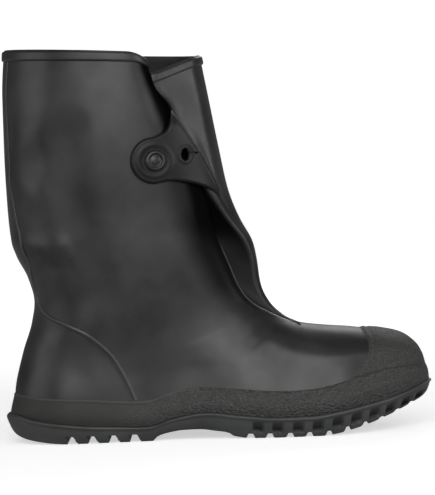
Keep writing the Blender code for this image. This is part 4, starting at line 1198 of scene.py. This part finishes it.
def sole_side(share, rise, hollow, side):
    """Points of one side from the top down, raised to the grooves' floor, and painted pocket shade."""
    at_back = ease(*HEEL_BULGE, -share)
    rows, marks = [], []
    for inset, part, most, inset_at_back in SIDE:
        drawn_in = inset + (inset_at_back - inset) * at_back
        x = sole_ring(share, drawn_in, side)[0]
        top, tread = read(SOLE_TOP, x), read(TREAD, x)
        depth = np.minimum(part * (top - tread), most)
        inside = hollow * (1 - ease(*POCKET_ENDS, depth))
        # painted shade in the pocket, growing with depth down the side
        marks.append(POCKET_PAINTED_SHADE * inside * ease(*POCKET_SHADE_DEPTHS, depth))
        x, y = sole_ring(share, drawn_in + POCKET_DEEP * inside * ease(*POCKET_STARTS, depth), side)
        lowest = tread + rise + SIDE_SLOPE * (LUG_EDGE[0, 0] - inset)
        rows.append(np.stack([x, y, np.maximum(top - depth, lowest)], axis=1))
    for inset, lift in LUG_EDGE:
        x, y = sole_ring(share, inset, side)
        tread = read(TREAD, x)
        lift = np.minimum(lift, LUG_EDGE_MOST * (read(SOLE_TOP, x) - tread))
        rows.append(np.stack([x, y, tread + np.maximum(rise, lift)], axis=1))
    return np.array(rows), np.array(marks)


print("lip stands out %.1f mm over the side below it" % (SIDE[10, 0] - SIDE[5, 0]))

# %% [markdown]
# ## The outsole
#
# The sole is a profile carried along the shoe: at each station a closed loop goes down the
# outer side, across the tread, up the inner side and back over the top. Stations crowd at the
# walls of the grooves and pockets, where the form changes fast. Shade is painted into the
# pockets with the same mark as in the gusset, and a thin highlight is painted along the front
# of the lip.

# %% Outsole
TREAD_INSET, ACROSS = 5.0, 26
MIDDLE_FILL, MIDDLE_STARTS = 0.3, (0.12, 0.3)
# a painted highlight along the rows of the lip's front edge
LIP_EDGE, LIP_HIGHLIGHT, LIP_HIGHLIGHT_STARTS = [1, 2, 3, 4], 0.4, (40, 100)
EVEN_STATIONS = 170
NEAR_GROOVE = np.concatenate([np.linspace(-5, 5, 19), np.linspace(7.8, 10.2, 5)])


def sole_loop(share):
    """Closed loops of points, station by station, and the painted shade of the lugs' pockets."""
    along = share * (LENGTH / 2 - TREAD_INSET)
    rise, hollow = groove_rise(along), pocket(along)
    outer, outer_pocket_shade = sole_side(share, rise, hollow, "outer")
    inner, inner_pocket_shade = sole_side(share, rise, hollow, "inner")
    mix = np.linspace(0, 1, ACROSS + 2)[1:-1, None]
    shallow = 1 - MIDDLE_FILL * ease(*MIDDLE_STARTS, mix) * ease(*MIDDLE_STARTS, 1 - mix)
    mix = mix[..., None]
    bottom = outer[-1] * (1 - mix) + inner[-1] * mix
    bottom[..., 2] = read(TREAD, bottom[..., 0]) + shallow * rise
    top = inner[0] * (1 - mix) + outer[0] * mix
    top[..., 2] = read(SOLE_TOP, top[..., 0])
    loop = np.concatenate([outer, bottom, inner[::-1], top]).transpose(1, 0, 2)
    # painted shade of the pockets, on the rows of both sides
    dark = np.zeros(loop.shape[:2])
    dark[:, : len(SIDE)] = outer_pocket_shade.T
    dark[:, len(outer) + ACROSS + len(LUG_EDGE) : -ACROSS] = inner_pocket_shade[::-1].T
    return loop, dark


even = -np.cos(np.linspace(0, np.pi, EVEN_STATIONS))
walls = (GROOVES[:, None] + NEAR_GROOVE).ravel() / (LENGTH / 2 - TREAD_INSET)
stations = np.unique(np.round(np.concatenate([even, walls]), 4))
sole_grid, sole_painted_shade = sole_loop(stations)
sole_faces = grid_faces(*sole_grid.shape[:2], wrap=True)
# painted highlight along the front of the lip
lip_painted_highlight = np.zeros(sole_painted_shade.shape)
lip_painted_highlight[:, LIP_EDGE] = LIP_HIGHLIGHT * ease(*LIP_HIGHLIGHT_STARTS, sole_grid[:, LIP_EDGE, 0])
outsole = new_piece("outsole_tread", sole_grid, sole_faces, sharp=38, shelter=sole_painted_shade, rubbed=lip_painted_highlight)

# %% [markdown]
# ## The insole
#
# Inside lies a thin cloth-faced floor. A flat cut-out would do at a glance, but it would look
# sharp at its edge. Its outline is the foot's plan drawn in by the wall and a little air, and
# a dome of a few tenths of a millimetre rounds it off.

# %% Insole
INSOLE_AIR, INSOLE_THICK, INSOLE_REACH = 0.8, 2.0, 42.0
INSOLE_EDGE_SHARE, INSOLE_EDGE_STEEP = 0.55, 8.0
INSOLE_ALONG, INSOLE_ACROSS = 130, 40

insole_margin = WALL + INSOLE_AIR
insole_start, insole_end = UPPER_HEEL_X + insole_margin, UPPER_TOE_X - insole_margin
insole_share = -np.cos(np.linspace(0, np.pi, INSOLE_ALONG))
insole_x = (insole_start + insole_end) / 2 + (insole_end - insole_start) / 2 * insole_share
plan_x = (UPPER_HEEL_X + UPPER_TOE_X) / 2 + (UPPER_TOE_X - UPPER_HEEL_X) / 2 * insole_share
heel_close = rounding((insole_share + 1) * LENGTH / 2 / HEEL_ROUND) * (1 - TUCK_SHARE)
drawn_in = heel_close * (1 - insole_margin / INSOLE_REACH)
insole_mix = (1 - np.cos(np.linspace(0, np.pi, INSOLE_ACROSS))) / 2
insole_outer = -(drawn_in * foot_half_width(plan_x, "outer"))[:, None]
insole_inner = (drawn_in * foot_half_width(plan_x, "inner"))[:, None]
insole_y = insole_outer * (1 - insole_mix) + insole_inner * insole_mix
insole_floor = np.broadcast_to((read(SOLE_TOP, insole_x) + SEAT_GAP)[:, None], insole_y.shape)
insole_low = np.stack([np.broadcast_to(insole_x[:, None], insole_y.shape), insole_y, insole_floor], axis=2)
end_round = rounding(INSOLE_EDGE_STEEP * (1 - np.abs(insole_share)))[:, None]
side_round = rounding(INSOLE_EDGE_STEEP * np.minimum(insole_mix, 1 - insole_mix))
dome = INSOLE_THICK * (INSOLE_EDGE_SHARE + (1 - INSOLE_EDGE_SHARE) * end_round * side_round)
insole_high = insole_low + dome[..., None] * np.array([0, 0, 1])
insole_loop = np.concatenate([insole_low, insole_high[:, ::-1]], axis=1)
insole = new_piece("insole_floor", insole_loop, grid_faces(*insole_loop.shape[:2], wrap=True))

# %% [markdown]
# ## Helpers for the finishes
#
# A finish is a tree of shader nodes. It could be wired up in the shader editor, but a script
# can be read and repeated, and small helpers keep it short. All patterns lie on Object
# coordinates, which stay with the piece wherever it is seen from.

# %% Node helpers
COLOUR_A, COLOUR_B, COLOUR_OUT = 6, 7, 2


def add_node(tree, kind, settings=None, **links):
    """A node with values or links on its named inputs, underscores standing for spaces."""
    made = tree.nodes.new(kind)
    for name, value in (settings or {}).items():
        setattr(made, name, value)
    for name, value in links.items():
        socket = made.inputs[name.replace("_", " ")]
        if isinstance(value, bpy.types.NodeSocket):
            tree.links.new(value, socket)
        else:
            socket.default_value = value
    return made


def new_finish(name):
    """An empty material with its shader, its tree and its Object coordinates."""
    finish = bpy.data.materials.new(name)
    finish.use_nodes = True
    tree = finish.node_tree
    where = tree.nodes.new("ShaderNodeTexCoord").outputs["Object"]
    return finish, tree, tree.nodes["Principled BSDF"], where


def noise(tree, where, scale, detail=2.0, rough=0.5):
    """Values of a noise with about `scale` features to the metre."""
    made = add_node(tree, "ShaderNodeTexNoise", Vector=where, Scale=scale, Detail=detail, Roughness=rough)
    return made.outputs["Fac"]


def spread(tree, value, low, high, start=0.3, end=0.7):
    """A value between start and end, spread out to run from low to high."""
    made = add_node(tree, "ShaderNodeMapRange", Value=value)
    for name, number in (("From Min", start), ("From Max", end), ("To Min", low), ("To Max", high)):
        made.inputs[name].default_value = number
    return made.outputs["Result"]


def two_tone(tree, value, dark, light):
    """A colour between two tones, by a value between 0.3 and 0.7."""
    made = add_node(tree, "ShaderNodeMix", {"data_type": "RGBA"}, Factor=spread(tree, value, 0.0, 1.0))
    made.inputs[COLOUR_A].default_value = (*dark, 1.0)
    made.inputs[COLOUR_B].default_value = (*light, 1.0)
    return made.outputs[COLOUR_OUT]


def bump(tree, height, distance, strength, below=None):
    """A bump of a height that counts as so many metres, over another bump's normal."""
    made = add_node(tree, "ShaderNodeBump", Height=height, Distance=distance, Strength=strength)
    if below is not None:
        tree.links.new(below, made.inputs["Normal"])
    return made.outputs["Normal"]


def mark_of(tree, mark):
    """The number that the piece's points carry under a name, 0 where they carry none."""
    return add_node(tree, "ShaderNodeAttribute", {"attribute_name": mark}).outputs["Fac"]


def marked(tree, mark, colour, other):
    """A colour that turns into another one where the piece carries a mark."""
    made = add_node(tree, "ShaderNodeMix", {"data_type": "RGBA"}, Factor=mark_of(tree, mark))
    tree.links.new(colour, made.inputs[COLOUR_A])
    made.inputs[COLOUR_B].default_value = (*other, 1.0)
    return made.outputs[COLOUR_OUT]


def wear(piece, node, finish):
    """Gives a piece its finish, hides the plain solid that it stands for and rides the frame."""
    piece.data.materials.clear()
    piece.data.materials.append(finish)
    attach(piece, "root")
    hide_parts(node)
    return piece


print("finishes so far:", len(bpy.data.materials))

# %% [markdown]
# ## Rubber, smooth
#
# The leg and vamp are satin black rubber, nearly plain. What makes it read as rubber is that
# it is never quite even: cloudy patches of a slightly duller bloom, a very fine grain, and a
# slow unevenness that bends the highlights. An even colour would look like plastic, so noises
# give all of these. Where the points carry the painted highlight mark the colour is painted
# paler, and where they carry the painted shade mark it is painted blacker and loses its gloss.

# %% Smooth rubber
# colours of the painted highlight and of the painted shade
PAINTED_HIGHLIGHT_COLOUR, PAINTED_SHADE_COLOUR = (0.112, 0.113, 0.109), (0.003, 0.003, 0.003)
BLOOM_SCALE, PATCH_SCALE, UNEVEN_SCALE, GRAIN_SCALE = 26.0, 38.0, 26.0, 1500.0
UNEVEN_DEEP, GRAIN_DEEP = 0.0011, 0.00005
GLOSS = 0.5


def smooth_rubber(name, dark, light, rough_low, rough_high):
    """Satin rubber: cloudy bloom in colour and roughness, slow unevenness and fine grain.

    The gloss runs from its full value down to none where the painted shade mark is 1.
    """
    finish, tree, shader, where = new_finish(name)
    bloom = two_tone(tree, noise(tree, where, BLOOM_SCALE, 5.0, 0.6), dark, light)
    # painted highlight and painted shade mixed into the colour
    pale = marked(tree, "rubbed", bloom, PAINTED_HIGHLIGHT_COLOUR)
    tree.links.new(marked(tree, "shelter", pale, PAINTED_SHADE_COLOUR), shader.inputs["Base Color"])
    patch = noise(tree, where, PATCH_SCALE, 4.0, 0.6)
    tree.links.new(spread(tree, patch, rough_low, rough_high), shader.inputs["Roughness"])
    uneven = bump(tree, noise(tree, where, UNEVEN_SCALE, 1.0), UNEVEN_DEEP, 0.5)
    grain = bump(tree, noise(tree, where, GRAIN_SCALE, 2.0), GRAIN_DEEP, 0.5, uneven)
    tree.links.new(grain, shader.inputs["Normal"])
    # painted shade also takes the gloss away
    gloss = spread(tree, mark_of(tree, "shelter"), GLOSS, 0.0, 0.0, 1.0)
    tree.links.new(gloss, shader.inputs["Specular IOR Level"])
    return finish


upper_rubber = smooth_rubber("upper_finish", (0.004, 0.0043, 0.004), (0.024, 0.0245, 0.0235), 0.36, 0.48)
wear(upper, "upper", upper_rubber)
wear(heel_counter, "heel_counter", upper_rubber)
wear(collar_band, "collar_band", upper_rubber)
wear(strap, "closure_strap", upper_rubber)
print("smooth rubber on four pieces")

# %% [markdown]
# ## Rubber, stippled
#
# Foxing and toe cap come out of a textured mould. The stipple is about a millimetre across:
# too fine for geometry, so it is a bump from a cell pattern and a noise, with a speckle in
# the tone. Towards the heel the band is smoother and duller, so stipple, speckle and gloss
# all fade with the place along the shoe.

# %% Stippled rubber
STIPPLE_FADE_FROM, STIPPLE_FADE_TO, STIPPLE_LEAST = -0.075, -0.015, 0.1
CELL_SCALE, SPECK_SCALE, SPECKLE_SCALE = 640.0, 1300.0, 520.0
STIPPLE_DEEP, STIPPLE_ROUGH = 0.0007, 0.52
BAND_UNEVEN_SCALE, BAND_UNEVEN_DEEP = 45.0, 0.0008
HEEL_GLOSS = 0.16


def stippled_rubber(name, dark, light):
    """Dull rubber: cells and noise added as bump, speckled in tone, all fading to the heel."""
    finish, tree, shader, where = new_finish(name)
    cells = add_node(tree, "ShaderNodeTexVoronoi", Vector=where, Scale=CELL_SCALE).outputs["Distance"]
    specks = noise(tree, where, SPECK_SCALE, 2.0)
    both = add_node(tree, "ShaderNodeMath", {"operation": "ADD"})
    tree.links.new(cells, both.inputs[0])
    tree.links.new(specks, both.inputs[1])
    along = add_node(tree, "ShaderNodeSeparateXYZ", Vector=where).outputs["X"]
    fade = spread(tree, along, STIPPLE_LEAST, 1.0, STIPPLE_FADE_FROM, STIPPLE_FADE_TO)
    speckle = add_node(tree, "ShaderNodeMix", {"data_type": "FLOAT"}, Factor=fade, A=0.5)
    tree.links.new(noise(tree, where, SPECKLE_SCALE, 3.0), speckle.inputs["B"])
    tone = two_tone(tree, speckle.outputs[0], dark, light)
    # painted highlight along the foxing's top edge
    tree.links.new(marked(tree, "rubbed", tone, PAINTED_HIGHLIGHT_COLOUR), shader.inputs["Base Color"])
    uneven = bump(tree, noise(tree, where, BAND_UNEVEN_SCALE, 1.0), BAND_UNEVEN_DEEP, 0.4)
    stipple = bump(tree, both.outputs[0], STIPPLE_DEEP, fade, uneven)
    tree.links.new(stipple, shader.inputs["Normal"])
    gloss = spread(tree, fade, HEEL_GLOSS, GLOSS, STIPPLE_LEAST, 1.0)
    tree.links.new(gloss, shader.inputs["Specular IOR Level"])
    shader.inputs["Roughness"].default_value = STIPPLE_ROUGH
    return finish


stippled = stippled_rubber("stippled_finish", (0.019, 0.0193, 0.0183), (0.046, 0.0465, 0.0442))
wear(foxing, "foxing", stippled)
wear(toe_cap, "toe_cap", stippled)
print("stippled rubber on two pieces")

# %% [markdown]
# ## Tread, button and insole
#
# The sole is a harder, duller rubber, and the button is the shiniest piece, so both are the
# smooth rubber again with other tones and another roughness. The insole's cloth is a weave.
# Threads as geometry would be far too many, so two wave textures at right angles are turned
# into bump and a slight change of tone.

# %% Tread, button and cloth
THREAD_SCALE, THREAD_WAVER = 420.0, 0.6
WEAVE_DEEP, CLOTH_ROUGH = 0.0003, 0.9


def cloth(name, dark, light):
    """A plain weave: waves along X and Y multiplied, as bump and as tone."""
    finish, tree, shader, where = new_finish(name)
    weave = add_node(tree, "ShaderNodeMath", {"operation": "MULTIPLY"})
    for axis, socket in zip("XY", weave.inputs):
        thread = add_node(tree, "ShaderNodeTexWave", {"bands_direction": axis}, Vector=where)
        thread.inputs["Scale"].default_value = THREAD_SCALE
        thread.inputs["Distortion"].default_value = THREAD_WAVER
        tree.links.new(thread.outputs["Fac"], socket)
    tree.links.new(two_tone(tree, weave.outputs[0], dark, light), shader.inputs["Base Color"])
    tree.links.new(bump(tree, weave.outputs[0], WEAVE_DEEP, 0.6), shader.inputs["Normal"])
    shader.inputs["Roughness"].default_value = CLOTH_ROUGH
    return finish


tread_rubber = smooth_rubber("tread_finish", (0.022, 0.023, 0.023), (0.046, 0.0475, 0.047), 0.46, 0.6)
button_rubber = smooth_rubber("button_finish", (0.010, 0.010, 0.011), (0.015, 0.015, 0.0155), 0.30, 0.38)
insole_cloth = cloth("insole_finish", (0.15, 0.147, 0.14), (0.29, 0.285, 0.27))
wear(outsole, "outsole", tread_rubber)
wear(button, "button", button_rubber)
wear(insole, "insole", insole_cloth)
print("finishes:", ", ".join(sorted(m.name for m in bpy.data.materials)))

# %% [markdown]
# ## A pale studio
#
# A product photo uses a sweep: paper that lies on the floor and curves up behind, so that no
# horizon shows. Here it curves up all round, as a profile turned about the upright axis, so
# that the shoe can be seen from any side. Black rubber would mirror all that white paper, so
# it is kept out of reflections, and it glows a little to stay pale.

# %% Floor sweep
SWEEP_FLOOR, SWEEP_BEND, SWEEP_TOP = 5000.0, 2500.0, 6000.0
SWEEP_INNER, SWEEP_STEPS, SWEEP_SIDES = 1500.0, 24, 96
PAPER, NEAR_GLOW, FAR_GLOW = 0.8, 0.55, 0.9
GLOW_FROM, GLOW_TO = 0.3, 1.8
bend = np.linspace(0, np.pi / 2, SWEEP_STEPS)
sweep_radius = [0.0, SWEEP_INNER, *(SWEEP_FLOOR + SWEEP_BEND * np.sin(bend)), SWEEP_FLOOR + SWEEP_BEND]
sweep_height = [0.0, 0.0, *(SWEEP_BEND * (1 - np.cos(bend))), SWEEP_TOP]
sweep_grid = turned(list(zip(sweep_radius, sweep_height)), SWEEP_SIDES)
sweep_faces = grid_faces(*sweep_grid.shape[:2], wrap=True)[:, ::-1]
floor_mesh = bpy.data.meshes.new("floor_sweep")
floor_mesh.from_pydata((sweep_grid.reshape(-1, 3) * MM).tolist(), [], sweep_faces.tolist())
floor_mesh.shade_smooth()
floor = bpy.data.objects.new("floor_sweep", floor_mesh)
floor.visible_glossy = floor.visible_diffuse = False
bpy.context.scene.collection.objects.link(floor)
paper, paper_tree, paper_shader, paper_where = new_finish("studio_paper")
paper_shader.inputs["Base Color"].default_value = (PAPER, PAPER, PAPER, 1.0)
paper_shader.inputs["Roughness"].default_value = 1.0
paper_shader.inputs["Specular IOR Level"].default_value = 0.0
paper_shader.inputs["Emission Color"].default_value = (1.0, 1.0, 1.0, 1.0)
paper_reach = add_node(paper_tree, "ShaderNodeVectorMath", {"operation": "LENGTH"})
paper_tree.links.new(paper_where, paper_reach.inputs[0])
paper_glow = spread(paper_tree, paper_reach.outputs["Value"], NEAR_GLOW, FAR_GLOW, GLOW_FROM, GLOW_TO)
paper_tree.links.new(paper_glow, paper_shader.inputs["Emission Strength"])
floor_mesh.materials.append(paper)
print("the sweep is %.0f m across" % (2 * max(sweep_radius) * MM))

# %% [markdown]
# ## Soft light
#
# Black rubber shows mostly what it mirrors, so the lamps are large and soft: small ones would
# make hard spots. A very large one stands above and behind the camera and draws the broad
# highlights on leg and vamp. One on the left lifts the back of the heel, one on the right the
# flap and the toe, one behind gives the outline a thin rim, and a weak one hangs overhead.
# Each row holds a lamp's name, place, aim, width, height and power.

# %% Lamps
LAMPS = [
    ("front_lamp", (0.0, -2.38, 1.08), (0.0, 0.0, 0.15), 2.3, 1.9, 53.0),
    ("left_lamp", (-2.07, -0.75, 0.6), (0.0, 0.0, 0.14), 1.3, 1.2, 9.0),
    ("right_lamp", (1.84, -0.92, 0.5), (0.0, 0.0, 0.16), 0.7, 1.0, 12.0),
    ("rim_lamp", (0.5, 1.9, 1.2), (0.05, 0.0, 0.1), 1.2, 0.6, 7.5),
    ("top_lamp", (0.2, -0.6, 2.2), (0.0, 0.0, 0.1), 1.6, 0.6, 1.8),
]


def facing(place, aim):
    """A matrix that stands at a place and looks along -Z at an aim, with Y upwards."""
    place, aim = np.array(place, float), np.array(aim, float)
    back = (place - aim) / np.linalg.norm(place - aim)
    right = np.cross((0, 0, 1), back)
    right /= np.linalg.norm(right)
    matrix = np.eye(4)
    matrix[:3] = np.column_stack([right, np.cross(back, right), back, place])
    return Matrix(matrix.tolist())


for name, place, aim, lamp_width, lamp_height, watts in LAMPS:
    lamp = bpy.data.lights.new(name, "AREA")
    lamp.shape, lamp.size, lamp.size_y, lamp.energy = "RECTANGLE", lamp_width, lamp_height, watts
    holder = bpy.data.objects.new(name, lamp)
    holder.matrix_world = facing(place, aim)
    holder.visible_camera = False
    bpy.context.scene.collection.objects.link(holder)

print(len(LAMPS), "lamps, %.0f W in all" % sum(row[-1] for row in LAMPS))

# %% [markdown]
# ## Light from all round
#
# Pale paper throws light back up under the shoe. The sweep is kept out of reflections, so the
# world stands in for it: brighter below the horizon than above it, with a short blend. An
# even world would leave the sole's side and the foot too dark.

# %% World
BELOW, ABOVE, HORIZON = 0.33, 0.1, 0.12
world = bpy.data.worlds.new("studio")
world.use_nodes = True
world_tree = world.node_tree
direction = world_tree.nodes.new("ShaderNodeTexCoord").outputs["Generated"]
upwards = add_node(world_tree, "ShaderNodeSeparateXYZ", Vector=direction).outputs["Z"]
strength = spread(world_tree, upwards, BELOW, ABOVE, -HORIZON, HORIZON)
world_tree.links.new(strength, world_tree.nodes["Background"].inputs["Strength"])
world_tree.nodes["Background"].inputs["Color"].default_value = (1.0, 1.0, 1.0, 1.0)
bpy.context.scene.world = world
bpy.context.scene.view_settings.view_transform = "Standard"
print("world strength %.2f below, %.2f above" % (BELOW, ABOVE))

# %% [markdown]
# ## The camera
#
# The shoe was photographed square from its outer side, from a little under two metres and
# from the height of the shaft, with the camera turned by a couple of degrees. The shift
# slides the picture without turning the camera, which keeps the uprights true.

# %% Camera
CAMERA_DISTANCE, CAMERA_HEIGHT, CAMERA_ROLL = 1.9, 0.205, -2.4
FRAME_WIDTH, FRAME_HEIGHT = 435, 495
MM_PER_PIXEL = 0.726
AIM_PIXEL_X, AIM_PIXEL_Y = 208.0, 150.4
SENSOR = 36.0

camera = bpy.data.cameras.new("camera")
camera.sensor_width = SENSOR
camera.lens = CAMERA_DISTANCE / MM / MM_PER_PIXEL * SENSOR / FRAME_HEIGHT
camera.shift_x = (FRAME_WIDTH / 2 - AIM_PIXEL_X) / FRAME_HEIGHT
camera.shift_y = (AIM_PIXEL_Y - FRAME_HEIGHT / 2) / FRAME_HEIGHT
camera_object = bpy.data.objects.new("camera", camera)
roll = Matrix.Rotation(math.radians(CAMERA_ROLL), 4, "Z")
upright = Matrix.Rotation(math.radians(90), 4, "X")
camera_object.matrix_world = Matrix.Translation((0, -CAMERA_DISTANCE, CAMERA_HEIGHT)) @ upright @ roll
bpy.context.scene.collection.objects.link(camera_object)
bpy.context.scene.camera = camera_object
print("lens %.1f mm, shift %.3f, %.3f" % (camera.lens, camera.shift_x, camera.shift_y))
